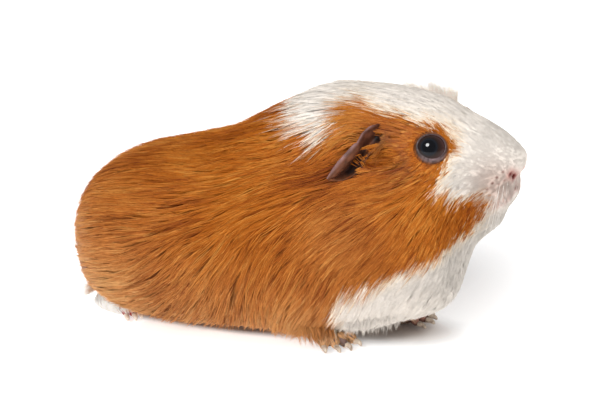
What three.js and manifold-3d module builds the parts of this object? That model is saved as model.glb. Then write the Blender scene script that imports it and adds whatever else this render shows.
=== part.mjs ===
// A smooth-haired guinea pig, life size, standing low on its four feet with the head raised.
// Millimetres. +X points to the nose, +Y to the animal's left, +Z up, and the floor is z = 0.
// Trunk and head are one closed loft through named cross-sections, with the limbs joined on. Thin cuts part
// it into the nodes that a person would name. Its faces are those of the coat, out to the tips of the hair.

import * as THREE from "three";
import { mergeVertices } from "three/addons/utils/BufferGeometryUtils.js";
import Module from "manifold-3d";

const wasm = await Module();
wasm.setup();

// ---------------------------------------------------------------- driving dimensions

const LENGTH = 181; // rump to the root of the nose, as it stands
const GAP = 0.3; // between neighbouring nodes
const FINER_HEAD = 0.35; // how much closer the cross-sections stand towards the nose
const FLOOR = 0;
const COLOUR = {
  ginger: 0xb5651d,
  white: 0xe9e4de,
  ear: 0x7a5648,
  paw: 0xc08a78,
  eye: 0x120c0a,
  claw: 0xd9cfc0,
};

// Cross-sections from rump to nose: the heights of the back, of the widest place and of the underside, half the
// width, and how square the section is above and below its widest place (2 is an ellipse).
const STATIONS = [
  { name: "rump", x: -82, top: 63.8, level: 32, bottom: 7.5, half: 36.5, over: 2.2, under: 2.8 },
  { name: "hips", x: -62, top: 69, level: 30, bottom: 5.5, half: 41.5, over: 2.2, under: 3.2 },
  { name: "loin", x: -40, top: 75, level: 31, bottom: 3, half: 41.5, over: 2.2, under: 3.6 },
  { name: "back", x: -24, top: 80.8, level: 33, bottom: 3, half: 40.2, over: 2.2, under: 3.5 },
  { name: "ribs", x: -10, top: 89.6, level: 35, bottom: 3, half: 39, over: 2.15, under: 3.4 },
  { name: "shoulders", x: 14, top: 100.9, level: 43, bottom: 3.2, half: 36, over: 2.1, under: 3.0 },
  { name: "nape", x: 34, top: 102, level: 52, bottom: 5, half: 33.5, over: 2.1, under: 2.5 },
  { name: "ears", x: 47, top: 101, level: 60, bottom: 9, half: 31, over: 2.1, under: 2.2 },
  { name: "cheeks", x: 59, top: 98.3, level: 64, bottom: 13.5, half: 28, over: 2.1, under: 2.0 },
  { name: "throat", x: 67, top: 94.7, level: 66, bottom: 22, half: 24.8, over: 2.1, under: 1.9 },
  { name: "jaw", x: 70.5, top: 93.6, level: 67, bottom: 37.5, half: 21.6, over: 2.1, under: 2.0 },
  { name: "bridge", x: 76, top: 91.4, level: 69, bottom: 45.5, half: 17.5, over: 2.2, under: 2.2 },
  { name: "muzzle", x: 83, top: 87.9, level: 71, bottom: 52, half: 13.5, over: 2.3, under: 2.3 },
  { name: "nose", x: 89, top: 84, level: 72, bottom: 57, half: 11, over: 2.3, under: 2.2 },
];
const ENDS = {
  nose: { x: LENGTH / 2, length: 9, height: 78.5, blunt: 2.4 },
  rump: { x: -LENGTH / 2, length: 34, height: 34, blunt: 2.8 },
};

// Soft bumps on both sides of the animal: where, how far they reach, and how far they push the surface.
const BUMPS = [
  { name: "haunch", at: [-58, 36, 34], reach: [26, 26, 26], push: [0, 2.5, 0] },
  { name: "flank", at: [-22, 38, 40], reach: [18, 30, 30], push: [0, -2, 0] },
  { name: "shoulder", at: [22, 32, 38], reach: [16, 24, 24], push: [0, 2, 0] },
  { name: "brow", at: [60, 20, 97], reach: [9, 8, 6], push: [0, 1, 0.6] },
  { name: "eye hollow", at: [64, 22, 88], reach: [7, 8, 7], push: [0, -1.2, 0] },
  { name: "cheek", at: [58, 26, 62], reach: [14, 16, 14], push: [0, 2, 0] },
  { name: "whisker pad", at: [86, 8, 65], reach: [7, 6, 6.5], push: [1.8, 1.3, 0] },
  { name: "nose tip", at: [90, 2, 80], reach: [6, 7, 4], push: [1.7, 0, 0.2] },
  { name: "lower lip", at: [89, 3, 63.5], reach: [6, 8, 4], push: [1.2, 0, 0] },
];

// ---------------------------------------------------------------- shaping

const vec = (x, y, z) => new THREE.Vector3(x, y, z);
const SIDES = { right: -1, left: 1 };

/** A smooth curve through [x, value] knots, flat beyond its ends. */
function through(knots) {
  const slope = knots.map((_, i) => {
    const [x0, v0] = knots[Math.max(i - 1, 0)];
    const [x1, v1] = knots[Math.min(i + 1, knots.length - 1)];
    return (v1 - v0) / (x1 - x0);
  });
  return (x) => {
    if (x <= knots[0][0]) return knots[0][1];
    if (x >= knots.at(-1)[0]) return knots.at(-1)[1];
    const i = knots.findIndex(([at]) => at > x) - 1;
    const [x0, v0] = knots[i];
    const [x1, v1] = knots[i + 1];
    const w = x1 - x0;
    const t = (x - x0) / w;
    const lean = w * t * (1 - t) * ((1 - t) * slope[i] - t * slope[i + 1]);
    return v0 + (v1 - v0) * t * t * (3 - 2 * t) + lean;
  };
}

/** How far a rounded end has opened at x, from 0 at its tip to 1. */
function opening(end, x) {
  const away = Math.min(Math.abs(end.x - x) / end.length, 1);
  return Math.max(1 - (1 - away) ** end.blunt, 0) ** (1 / end.blunt);
}

const curveOf = (key) => through(STATIONS.map((s) => [s.x, s[key]]));
const [topAt, levelAt, bottomAt] = ["top", "level", "bottom"].map(curveOf);
const [halfAt, overAt, underAt] = ["half", "over", "under"].map(curveOf);

/** The cross-section at x, with the ends rounded. */
function sectionAt(x) {
  const end = x > 0 ? ENDS.nose : ENDS.rump;
  const open = opening(end, x);
  const height = (curve) => end.height + (curve(x) - end.height) * open;
  const level = height(levelAt);
  return {
    level,
    half: halfAt(x) * open,
    above: { rise: height(topAt) - level, square: overAt(x) },
    below: { rise: level - height(bottomAt), square: underAt(x) },
  };
}

/** The closed loft of trunk and head, made by reshaping a sphere whose poles become nose and rump. */
function bodyGeometry(segments, rings) {
  const geometry = new THREE.SphereGeometry(1, segments, rings);
  const place = geometry.attributes.position;
  const p = vec(0, 0, 0);
  for (let i = 0; i < place.count; i++) {
    p.fromBufferAttribute(place, i);
    const turn = Math.acos(THREE.MathUtils.clamp(p.y, -1, 1));
    const closer = turn - (FINER_HEAD * Math.sin(turn) * (1 + p.y)) / 2;
    const x = (LENGTH / 2) * Math.cos(closer);
    const { level, half, above, below } = sectionAt(x);
    const part = p.z > 0 ? above : below;
    const s = Math.hypot(p.x, p.z) || 1;
    const across = Math.sign(p.x) * Math.abs(p.x / s) ** (2 / part.square);
    const upward = Math.sign(p.z) * Math.abs(p.z / s) ** (2 / part.square);
    p.set(x, -across * half, level + upward * part.rise);
    for (const b of BUMPS) swell(p, b);
    place.setXYZ(i, p.x, p.y, p.z);
  }
  return geometry;
}

/** The place on the side of the animal at x and z. */
function onSide(x, z, sign = 1) {
  const { level, half, above, below } = sectionAt(x);
  const { rise, square } = z > level ? above : below;
  const share = Math.min(Math.abs(z - level) / rise, 1);
  const p = vec(x, sign * half * (1 - share ** square) ** (1 / square), z);
  for (const b of BUMPS) swell(p, b);
  return p;
}

/** The outward direction on the side of the animal at x and z. */
function outwardAt(x, z, sign = 1) {
  const step = 0.5;
  const along = onSide(x + step, z, sign).sub(onSide(x - step, z, sign));
  const up = onSide(x, z + step, sign).sub(onSide(x, z - step, sign));
  return along.cross(up).normalize().multiplyScalar(-sign);
}

/** Moves p by a soft bump. */
function swell(p, { at, reach, push }) {
  const side = Math.sign(p.y) || 1;
  const off = [p.x - at[0], Math.abs(p.y) - at[1], p.z - at[2]];
  const amount = Math.exp(-off.reduce((sum, d, k) => sum + (d / reach[k]) ** 2, 0));
  p.add(vec(push[0], side * push[1], push[2]).multiplyScalar(amount));
}

/** A closed tapering tube along a smooth path, made from a sphere. flat squeezes it along up. */
function tube({ path, radii, sides = 8, rings = 8, flat = 1, up = vec(0, 0, 1), blunt = 3 }) {
  const line = new THREE.CatmullRomCurve3(path);
  const radius = through(radii.map((r, i) => [i / (radii.length - 1), r]));
  const geometry = new THREE.SphereGeometry(1, sides, rings);
  const place = geometry.attributes.position;
  const p = vec(0, 0, 0);
  for (let i = 0; i < place.count; i++) {
    p.fromBufferAttribute(place, i);
    const t = (1 - p.y) / 2;
    const s = Math.hypot(p.x, p.z) || 1;
    const r = radius(t) * Math.max(1 - Math.abs(p.y) ** blunt, 0) ** (1 / blunt);
    const tangent = line.getTangent(t);
    const side = tangent.clone().cross(up).normalize();
    const rise = side.clone().cross(tangent);
    const at = line.getPoint(t);
    at.addScaledVector(side, (p.x / s) * r).addScaledVector(rise, (p.z / s) * r * flat);
    place.setXYZ(i, at.x, at.y, at.z);
  }
  return geometry;
}

/** An ellipsoid. */
function ellipsoid(centre, radii, segments = 20, rings = 14) {
  return new THREE.SphereGeometry(1, segments, rings).scale(...radii).translate(...centre);
}

// ---------------------------------------------------------------- solids

const asManifold = (geometry) =>
  new wasm.Manifold(
    new wasm.Mesh({
      numProp: 3,
      vertProperties: geometry.attributes.position.array,
      triVerts: new Uint32Array(geometry.index.array),
    }),
  );

/** A geometry with only its places, its shared corners merged, and its faces turned out. */
function welded(geometry) {
  const bare = geometry.clone();
  bare.deleteAttribute("normal");
  bare.deleteAttribute("uv");
  const merged = mergeVertices(bare, 1e-4);
  if (asManifold(merged).volume() < 0) {
    const corners = merged.index.array;
    for (let i = 0; i < corners.length; i += 3) {
      [corners[i + 1], corners[i + 2]] = [corners[i + 2], corners[i + 1]];
    }
  }
  return merged;
}

/** A three.js geometry as a solid. */
const solid = (geometry) => asManifold(welded(geometry));

/** The same geometry with every corner moved out by a distance, to cut a neighbour with. */
function grown(geometry, distance = GAP) {
  const merged = welded(geometry);
  merged.computeVertexNormals();
  const { position, normal } = merged.attributes;
  for (let i = 0; i < position.count; i++) {
    const p = vec(0, 0, 0).fromBufferAttribute(position, i);
    p.addScaledVector(vec(0, 0, 0).fromBufferAttribute(normal, i), distance);
    position.setXYZ(i, p.x, p.y, p.z);
  }
  return asManifold(merged);
}

/** Everything ahead of a plane that crosses the animal from side to side, leaning by tilt degrees. */
function aheadOf({ x, z, tilt }, offset = 0) {
  const size = 500;
  const box = new THREE.BoxGeometry(size, size, size).translate(size / 2 + offset, 0, 0);
  box.rotateY(THREE.MathUtils.degToRad(tilt)).translate(x, 0, z);
  return solid(box);
}

/** The largest closed surface of a solid. */
function largest(s) {
  return s.decompose().reduce((a, b) => (b.volume() > a.volume() ? b : a));
}

const join = (solids) => solids.reduce((a, b) => a.add(b));

const pig = new THREE.Group();

/** Adds a solid to the animal as a named mesh. */
function add(name, s, colour, roughness = 0.9) {
  const kept = largest(s).getMesh();
  const geometry = new THREE.BufferGeometry();
  geometry.setAttribute("position", new THREE.BufferAttribute(kept.vertProperties, 3));
  geometry.setIndex(new THREE.BufferAttribute(kept.triVerts, 1));
  geometry.computeVertexNormals();
  const mesh = new THREE.Mesh(
    geometry,
    new THREE.MeshStandardMaterial({ color: colour, roughness, metalness: 0 }),
  );
  mesh.name = name;
  pig.add(mesh);
}

// ---------------------------------------------------------------- limbs

// Each foot: where it stands, which way its toes point, and the furred limb that comes down to it. The right
// fore paw stands a stride behind the left one, and is turned out.
const LIMBS = {
  foreleg_right: { foot: "fore", at: [17.5, -14.5], turn: -42, from: [-5, -26, 21], to: [17, -20, 8.5] },
  foreleg_left: { foot: "fore", at: [36, 17], turn: 8, from: [18, 23, 21], to: [35, 17, 8.5] },
  hindleg_right: { foot: "hind", at: [-72.3, -15.1], turn: -20, from: [-76, -22, 22], to: [-74, -14, 10] },
  hindleg_left: { foot: "hind", at: [-66, 17], turn: 16, from: [-72, 24, 22], to: [-70, 17, 10] },
};
// The part of the trunk's own surface that belongs to each limb, shoulder or haunch, and the limb's girth.
const REGIONS = {
  fore: { forward: 0, out: 34, up: 26, radii: [19, 26, 26], girth: [11, 10, 7] },
  hind: { forward: 14, out: 36, up: 25, radii: [31, 28, 32], girth: [10, 9, 6] },
};
// Feet in their own frame, toes along +x: the sole from heel to ball, and the toes from the outermost one in,
// each as [offset, angle, length], with offset and angle towards the midline.
const FEET = {
  fore: {
    sole: { heel: -4, ball: 7, height: 3.1, radii: [4.2, 4.8, 4.4] },
    toes: [[-3.4, -18, 7.5], [-1, -3, 9], [1.5, 9, 9], [4, 27, 7.5]],
    toe: { start: 3.5, radii: [2.3, 2.2, 1.7], arch: 4.6 },
    claw: { length: 4.6, radii: [1.2, 0.9, 0.3] },
  },
  hind: {
    sole: { heel: -12, ball: 6.5, height: 2.9, radii: [3.9, 4.3, 4.3] },
    toes: [[-2.2, -31, 6], [0.1, -25, 8], [2.5, -21, 7.6]],
    toe: { start: 5, radii: [2.2, 1.9, 1.5], arch: 4.6 },
    claw: { length: 4.6, radii: [1.1, 0.9, 0.3] },
  },
};

/** Moves a point of a foot's own frame to where that foot stands. */
function stood({ at, turn }, x, y, z) {
  const p = vec(x, y, z).applyAxisAngle(vec(0, 0, 1), THREE.MathUtils.degToRad(turn));
  return p.add(vec(at[0], at[1], 0));
}

/** The furred limb that comes down from the trunk to its foot. */
function limbGeometry({ from, to, foot }) {
  return tube({ path: [vec(...from), vec(...to)], radii: REGIONS[foot].girth, sides: 12, rings: 8 });
}

/** The sole and the toes of a foot, and the claws that grow from the toes. */
function footGeometry(limb) {
  const { sole, toes, toe, claw } = FEET[limb.foot];
  const middle = (sole.heel + sole.ball) / 2;
  const along = [sole.heel, middle, sole.ball].map((x) => stood(limb, x, 0, sole.height));
  const inward = -Math.sign(limb.at[1]);
  const fingers = [];
  const claws = [];
  for (const [offset, angle, length] of toes) {
    const lean = THREE.MathUtils.degToRad(angle);
    const point = (far, z) =>
      stood(limb, toe.start + far * Math.cos(lean), inward * (offset + far * Math.sin(lean)), z);
    const tip = toe.radii.at(-1);
    const path = [point(0, sole.height), point(length * 0.5, toe.arch), point(length, tip + 0.2)];
    fingers.push(tube({ path, radii: toe.radii, sides: 6, rings: 6 }));
    const out = [
      point(length - 2, tip + 1),
      point(length + claw.length * 0.45, tip + 0.9),
      point(length + claw.length, 0.9),
    ];
    claws.push(tube({ path: out, radii: claw.radii, sides: 5, rings: 5, blunt: 6 }));
  }
  return { sole: tube({ path: along, radii: sole.radii, sides: 10, rings: 7, flat: 0.85 }), fingers, claws };
}

// ---------------------------------------------------------------- ears, eyes, nose and mouth

// An ear is a thin leaf that leaves the top of the cheek, bends out and droops back. across is the way to its
// upper rim, and the leaf is cupped towards the side that faces out and forward.
const EAR = {
  spine: [[48, 20, 89.5], [41, 25.5, 85], [33, 30.5, 79], [25, 33.5, 72.5]],
  across: [-0.35, 0.25, 0.9],
  half: [4.5, 5.8, 5.4, 3.6],
  cup: 3,
  thick: 0.75,
};
const CANAL = { at: [42, 27, 81.5], radii: [6, 3.5, 4] };

/** One ear as a leaf. */
function earGeometry(sign) {
  const flip = ([x, y, z]) => vec(x, y * sign, z);
  const line = new THREE.CatmullRomCurve3(EAR.spine.map(flip));
  const half = through(EAR.half.map((h, i) => [i / (EAR.half.length - 1), h]));
  const geometry = new THREE.SphereGeometry(1, 16, 12);
  const place = geometry.attributes.position;
  const p = vec(0, 0, 0);
  for (let i = 0; i < place.count; i++) {
    p.fromBufferAttribute(place, i);
    const t = (1 - p.y) / 2;
    const s = Math.hypot(p.x, p.z) || 1;
    const open = Math.max(1 - Math.abs(p.y) ** 2.2, 0) ** (1 / 2.2);
    const tangent = line.getTangent(t);
    const out = tangent.clone().cross(flip(EAR.across)).normalize().multiplyScalar(-sign);
    const rim = out.clone().cross(tangent).normalize().multiplyScalar(sign);
    const x = (p.x / s) * open;
    const lift = EAR.cup * x * x + (p.z / s) * EAR.thick * open;
    const at = line.getPoint(t).addScaledVector(rim, x * half(t)).addScaledVector(out, lift);
    place.setXYZ(i, at.x, at.y, at.z);
  }
  return geometry;
}

const EYE = { x: 61.3, z: 85, forward: 0.1, radius: 6.1, opening: 5.35, proud: 0.3, lid: 1, stretch: 1.05 };

/** The centre of an eyeball, the middle of its opening, and the way that it looks. */
function eyePlace(sign) {
  const axis = outwardAt(EYE.x, EYE.z, sign).add(vec(EYE.forward, 0, 0)).normalize();
  const sunk = Math.sqrt(EYE.radius ** 2 - EYE.opening ** 2);
  const rim = onSide(EYE.x, EYE.z, sign).addScaledVector(axis, EYE.proud);
  return { axis, rim, centre: rim.clone().addScaledVector(axis, -sunk) };
}

/** The ring of both lids, a little wider than high. */
function lidGeometry(sign) {
  const { axis, rim } = eyePlace(sign);
  const ring = new THREE.TorusGeometry(EYE.opening + EYE.lid * 0.55, EYE.lid, 6, 24);
  ring.scale(EYE.stretch, 1, 1);
  return ring.lookAt(axis).translate(...rim.toArray());
}

// The mouth runs round the muzzle from corner to corner, and the cleft of the lip comes down to it.
const MOUTH = [{ x: 78.5, z: 60 }, { x: 83, z: 61.5 }, { x: 87, z: 63.5 }, { x: 89.3, z: 66 }];
const NOSTRIL = { x: 89.2, z: 73.5, radius: 1.1, depth: 2.5 };
const GROOVE = 0.7;

/** The line of the mouth, and the cleft from the nose down to it. */
function mouthPaths() {
  const lip = (sign) => MOUTH.map(({ x, z }) => onSide(x, z, sign));
  const front = vec(LENGTH / 2 - 0.6, 0, 67.5);
  const cleft = [vec(LENGTH / 2 - 0.1, 0, 75), vec(LENGTH / 2 - 0.2, 0, 71), front];
  return [[...lip(-1), front, ...lip(1).reverse()], cleft];
}

// A few locks stand up on the brow, on the left of the crown.
const TUFT = { x: 55, y: 13, spread: [9, 7], count: 7, length: 7, half: 2.2, flat: 0.35, seed: 3 };

/** Flat locks of hair that stand up on the crown and bend back over one another. */
function tuftGeometries() {
  const locks = [];
  let state = TUFT.seed;
  const draw = () => {
    state = (state * 16807) % 2147483647;
    return state / 2147483647 - 0.5;
  };
  for (let i = 0; i < TUFT.count; i++) {
    const x = TUFT.x + TUFT.spread[0] * (i / (TUFT.count - 1) - 0.5);
    const root = vec(x, TUFT.y + TUFT.spread[1] * draw(), topAt(x) - 5.5);
    const length = TUFT.length * (1 + 0.3 * draw());
    const rise = vec(0.2 + 0.4 * draw(), 0.3 + 0.4 * draw(), 1).normalize().multiplyScalar(length);
    const bent = vec(-0.25, 0.1, -0.1).multiplyScalar(length);
    const path = [root, root.clone().addScaledVector(rise, 0.6), root.clone().add(rise).add(bent)];
    const radii = [TUFT.half, TUFT.half * 0.8, 0.4];
    locks.push(tube({ path, radii, sides: 5, rings: 5, flat: TUFT.flat, up: vec(0, 1, 0) }));
  }
  return locks;
}

// ---------------------------------------------------------------- the animal

const NECK_ENDS = { x: 30, z: 55, tilt: -39 };
const HEAD_ENDS = { x: 45, z: 66, tilt: -30 };
const aboveFloor = solid(new THREE.BoxGeometry(400, 400, 400).translate(0, 0, 200 + FLOOR));
const aboveSoles = solid(new THREE.BoxGeometry(400, 400, 400).translate(0, 0, 200 + 2));

const bodyShape = bodyGeometry(34, 58);
const body = solid(bodyShape);
let trunk = body;
const feet = {};

for (const [name, limb] of Object.entries(LIMBS)) {
  const sign = Math.sign(limb.at[1]);
  const region = REGIONS[limb.foot];
  const middle = [limb.at[0] + region.forward, region.out * sign, region.up];
  const joint = ellipsoid(middle, region.radii, 20, 14);
  const shank = limbGeometry(limb);
  const leg = join([body.intersect(solid(joint)), solid(shank)]).intersect(aboveSoles);
  trunk = trunk.subtract(grown(joint)).subtract(grown(shank));
  add(name, leg, COLOUR.ginger);
  const { sole, fingers, claws } = footGeometry(limb);
  const foot = join([sole, ...fingers].map(solid));
  const clear = join([grown(bodyShape), grown(shank)]);
  const footName = name.replace("leg", "foot");
  const cut = foot.intersect(aboveFloor).subtract(clear);
  claws.forEach((claw, i) => {
    const free = solid(claw).subtract(grown(fingers[i])).subtract(clear).intersect(aboveFloor);
    add(`claw_${name.replace("leg", "")}_${i + 1}`, free, COLOUR.claw, 0.4);
  });
  add(footName, cut, COLOUR.paw, 0.7);
}

const head = [trunk.intersect(aheadOf(HEAD_ENDS, GAP / 2))];
const hollows = [];
for (const [side, sign] of Object.entries(SIDES)) {
  const { centre } = eyePlace(sign);
  add(`eye_${side}`, solid(ellipsoid(centre.toArray(), Array(3).fill(EYE.radius), 18, 12)), COLOUR.eye, 0.05);
  head.push(solid(lidGeometry(sign)));
  hollows.push(solid(ellipsoid(centre.toArray(), Array(3).fill(EYE.radius + GAP), 18, 12)));
  hollows.push(solid(ellipsoid([CANAL.at[0], CANAL.at[1] * sign, CANAL.at[2]], CANAL.radii, 12, 8)));
  const ear = solid(earGeometry(sign)).subtract(grown(bodyShape));
  add(`ear_${side}`, ear, COLOUR.ear, 0.7);
  const outer = onSide(NOSTRIL.x, NOSTRIL.z, sign);
  const way = outwardAt(NOSTRIL.x, NOSTRIL.z, sign);
  const nostril = [1, -NOSTRIL.depth].map((far) => outer.clone().addScaledVector(way, far));
  const radii = [NOSTRIL.radius, NOSTRIL.radius];
  hollows.push(solid(tube({ path: nostril, radii, sides: 7, rings: 5 })));
}
const grooves = mouthPaths().map((path) =>
  solid(tube({ path, radii: [GROOVE, GROOVE], sides: 5, rings: 16 })));
const face = join([...head, ...tuftGeometries().map(solid)]).subtract(join([...hollows, ...grooves]));
add("head", face, COLOUR.white);
const behindHead = trunk.subtract(aheadOf(HEAD_ENDS, -GAP / 2));
add("neck", behindHead.intersect(aheadOf(NECK_ENDS, GAP / 2)), COLOUR.white);
add("torso", trunk.subtract(aheadOf(NECK_ENDS, -GAP / 2)), COLOUR.ginger);

export default pig;
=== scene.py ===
"""A still, life-size model of a smooth-haired guinea pig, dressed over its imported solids.

Everything is in metres in the frame of the solids: +X points to the nose, +Y to the animal's left and +Z
up, and the floor is z = 0. The hide lies inside the solids by the depth of the coat, and the coat is solid
mesh: thin closed hairs in tufts that follow the lie of the hair out to the surface of the solids.
"""

import logging
import math
from dataclasses import dataclass, field
from enum import Enum
from typing import Any, Sequence

import bmesh
import bpy
import numpy as np
from mathutils import Matrix, Vector
from mathutils.bvhtree import BVHTree


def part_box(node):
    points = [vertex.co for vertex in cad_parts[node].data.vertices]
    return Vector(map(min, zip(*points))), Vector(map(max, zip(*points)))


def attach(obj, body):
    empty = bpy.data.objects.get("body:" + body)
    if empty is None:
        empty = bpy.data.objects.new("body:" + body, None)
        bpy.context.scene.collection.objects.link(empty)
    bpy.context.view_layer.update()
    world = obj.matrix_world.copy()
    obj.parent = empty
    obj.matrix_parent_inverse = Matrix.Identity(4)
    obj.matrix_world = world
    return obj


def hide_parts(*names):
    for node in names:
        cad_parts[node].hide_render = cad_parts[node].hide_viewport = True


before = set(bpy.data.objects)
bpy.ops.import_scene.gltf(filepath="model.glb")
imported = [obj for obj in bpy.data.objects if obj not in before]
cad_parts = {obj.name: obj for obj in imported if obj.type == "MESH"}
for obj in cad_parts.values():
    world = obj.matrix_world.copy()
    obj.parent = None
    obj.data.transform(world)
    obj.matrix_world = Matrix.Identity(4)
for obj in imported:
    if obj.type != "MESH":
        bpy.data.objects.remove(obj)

MM = 0.001
SEED = 20
BODY = "root"
UNWRAP = "OFBake"
COLOUR = "coat_colour"
FROM_PUPIL = "from_pupil"
TUFT_PATCH = 0.003  # the size of a tuft on the unwrap
RIGHT, LEFT = -1.0, 1.0
SIDES = {"right": RIGHT, "left": LEFT}
Array, Draw, BMesh = np.ndarray, np.random.Generator, bmesh.types.BMesh
Material, Mesh, Object = bpy.types.Material, bpy.types.Mesh, bpy.types.Object
Tree, Node, Socket = bpy.types.NodeTree, bpy.types.Node, bpy.types.NodeSocket
Spot = tuple[float, float, float]
Values = dict[str | int, Any]  # of a node's settings or sockets, by name or number
log = logging.getLogger("guinea_pig")


# ---------------- helpers


def linear(code: str) -> tuple[float, float, float, float]:
    """A colour written as sRGB hex, as the linear values that a shader takes.

    Args:
        code: six hex digits.

    Returns:
        Red, green, blue and an alpha of 1.
    """
    shares = [int(code[i : i + 2], 16) / 255 for i in (0, 2, 4)]
    red, green, blue = [s / 12.92 if s <= 0.04045 else ((s + 0.055) / 1.055) ** 2.4 for s in shares]
    return red, green, blue, 1.0


def rgb(code: str) -> Array:
    """A colour written as sRGB hex, as a linear array of three values."""
    return np.array(linear(code)[:3])


def mixed(colours: Array, code: str, share: Array) -> Array:
    """Colours with a share of another, written as sRGB hex, mixed into each."""
    return colours + (rgb(code) - colours) * share[:, None]


def fill(node: Node, inputs: Values) -> None:
    """Sets some of a node's sockets.

    Args:
        node: the node.
        inputs: for each of its sockets a value, or the output socket that is linked to it.
    """
    for name, value in inputs.items():
        if isinstance(value, Socket):
            node.id_data.links.new(value, node.inputs[name])
        else:
            node.inputs[name].default_value = value


def add_node(tree: Tree, kind: str, settings: Values | None = None, inputs: Values | None = None) -> Node:
    """Adds a node to a material's tree.

    Args:
        tree: the tree that it goes in.
        kind: the node's type name.
        settings: its properties.
        inputs: for each of its sockets a value, or the output socket that is linked to it.

    Returns:
        The new node.
    """
    node = tree.nodes.new(kind)
    for name, value in (settings or {}).items():
        setattr(node, name, value)
    fill(node, inputs or {})
    return node


def new_material(name: str) -> tuple[Material, Tree, Node]:
    """A new material.

    Args:
        name: what it is.

    Returns:
        The material, its nodes and its shader.
    """
    material = bpy.data.materials.new(name)
    material.use_nodes = True
    tree = material.node_tree
    return material, tree, tree.nodes["Principled BSDF"]


def smooth(share: Array) -> Array:
    """Eases values from 0 to 1, flat at both ends."""
    held = np.clip(share, 0, 1)
    return held * held * (3 - 2 * held)


def unit(vectors: Array) -> Array:
    """The same vectors at a length of 1."""
    return vectors / np.maximum(np.linalg.norm(vectors, axis=-1, keepdims=True), 1e-12)


def bell(distance: Array, reach: float) -> Array:
    """1 at no distance, falling off smoothly over about the reach."""
    return np.exp(-((distance / reach) ** 2))


def within(flat: Array, outline: Array) -> Array:
    """How far points of a plane are inside a closed outline, and negative outside it.

    Args:
        flat: the points.
        outline: the outline's corners in order.

    Returns:
        A distance for each point.
    """
    inside = np.zeros(len(flat), bool)
    nearest = np.full(len(flat), np.inf)
    for a, b in zip(outline, np.roll(outline, -1, axis=0)):
        along = b - a
        share = np.clip(((flat - a) @ along) / max(along @ along, 1e-12), 0, 1)
        nearest = np.minimum(nearest, np.linalg.norm(flat - a - share[:, None] * along, axis=1))
        spans = (a[1] > flat[:, 1]) != (b[1] > flat[:, 1])
        rise = along[1] if abs(along[1]) > 1e-12 else 1e-12
        inside ^= spans & (flat[:, 0] < a[0] + along[0] * (flat[:, 1] - a[1]) / rise)
    return np.where(inside, nearest, -nearest)


class Swell:
    """A smooth random field, made of a few waves that cross one another."""

    def __init__(self, wavelength: float, seed: int, waves: int = 9) -> None:
        """Draws the waves.

        Args:
            wavelength: the usual distance from crest to crest.
            seed: of the random draw.
            waves: how many cross.
        """
        draw = np.random.default_rng(seed)
        heading = unit(draw.normal(size=(waves, 3)))
        self.pace = heading * (2 * math.pi / wavelength) * draw.uniform(0.6, 1.5, (waves, 1))
        self.start = draw.uniform(0, 2 * math.pi, waves)

    def at(self, places: Array) -> Array:
        """The field's value at each place, mostly within -1 and 1."""
        return np.sin(places @ self.pace.T + self.start).sum(axis=-1) / math.sqrt(len(self.start) / 2) * 0.6


def places_of(mesh: Mesh) -> Array:
    """The places of a mesh's corners as an array."""
    flat = np.empty(len(mesh.vertices) * 3)
    mesh.vertices.foreach_get("co", flat)
    return flat.reshape(-1, 3)


def facings_of(mesh: Mesh) -> Array:
    """The outward directions at a mesh's corners as an array."""
    flat = np.empty(len(mesh.vertices) * 3, np.float32)
    mesh.vertex_normals.foreach_get("vector", flat)
    return flat.reshape(-1, 3).astype(float)


def move_to(mesh: Mesh, places: Array) -> None:
    """Puts a mesh's corners at new places."""
    mesh.vertices.foreach_set("co", places.ravel())
    mesh.update()


def paint(mesh: Mesh, colours: Array) -> None:
    """Keeps one linear colour for each corner of a mesh, for its material to read.

    Args:
        mesh: the mesh.
        colours: an array of red, green and blue for each corner.
    """
    layer = mesh.color_attributes.new(COLOUR, "FLOAT_COLOR", "POINT")
    full = np.concatenate([colours, np.ones((len(colours), 1))], axis=1)
    layer.data.foreach_set("color", np.clip(full, 0, 1).ravel().astype(np.float32))


def object_of(name: str, mesh: Mesh) -> Object:
    """A new object in the scene.

    Args:
        name: of the object.
        mesh: what it shows.

    Returns:
        The object.
    """
    piece = bpy.data.objects.new(name, mesh)
    bpy.context.scene.collection.objects.link(piece)
    return piece


def mesh_of(name: str, shape: BMesh) -> Mesh:
    """Turns a bmesh into a smoothly shaded mesh and frees it.

    Args:
        name: of the mesh.
        shape: the bmesh.

    Returns:
        The mesh.
    """
    mesh = bpy.data.meshes.new(name)
    for face in shape.faces:
        face.smooth = True
    shape.to_mesh(mesh)
    shape.free()
    return mesh


def finish(piece: Object, material: Material, slot: str, *nodes: str) -> None:
    """Gives a piece its material, its body and the solids that it stands for, and reports it.

    Args:
        piece: the piece.
        material: what it is made of.
        slot: the record's material slot, which is not used.
        nodes: the solids that it replaces.
    """
    piece.data.materials.clear()
    piece.data.materials.append(material)
    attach(piece, BODY)
    if nodes:
        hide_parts(*nodes)
    log.info("%s: %d faces", piece.name, len(piece.data.polygons))


def applied(piece: Object) -> Mesh:
    """Carries out a piece's modifiers.

    Args:
        piece: the piece, which is removed.

    Returns:
        Its mesh with the modifiers in it.
    """
    graph = bpy.context.evaluated_depsgraph_get()
    mesh = bpy.data.meshes.new_from_object(piece.evaluated_get(graph))
    bpy.data.objects.remove(piece)
    return mesh


def copied(nodes: Sequence[str]) -> BMesh:
    """Copies the closed surfaces of some solids.

    Args:
        nodes: the names of the solids.

    Returns:
        All of them in one bmesh, their loose triangles merged.
    """
    shape = bmesh.new()
    for node in nodes:
        shape.from_mesh(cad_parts[node].data)
    bmesh.ops.remove_doubles(shape, verts=shape.verts, dist=0.002 * MM)
    return shape


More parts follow.
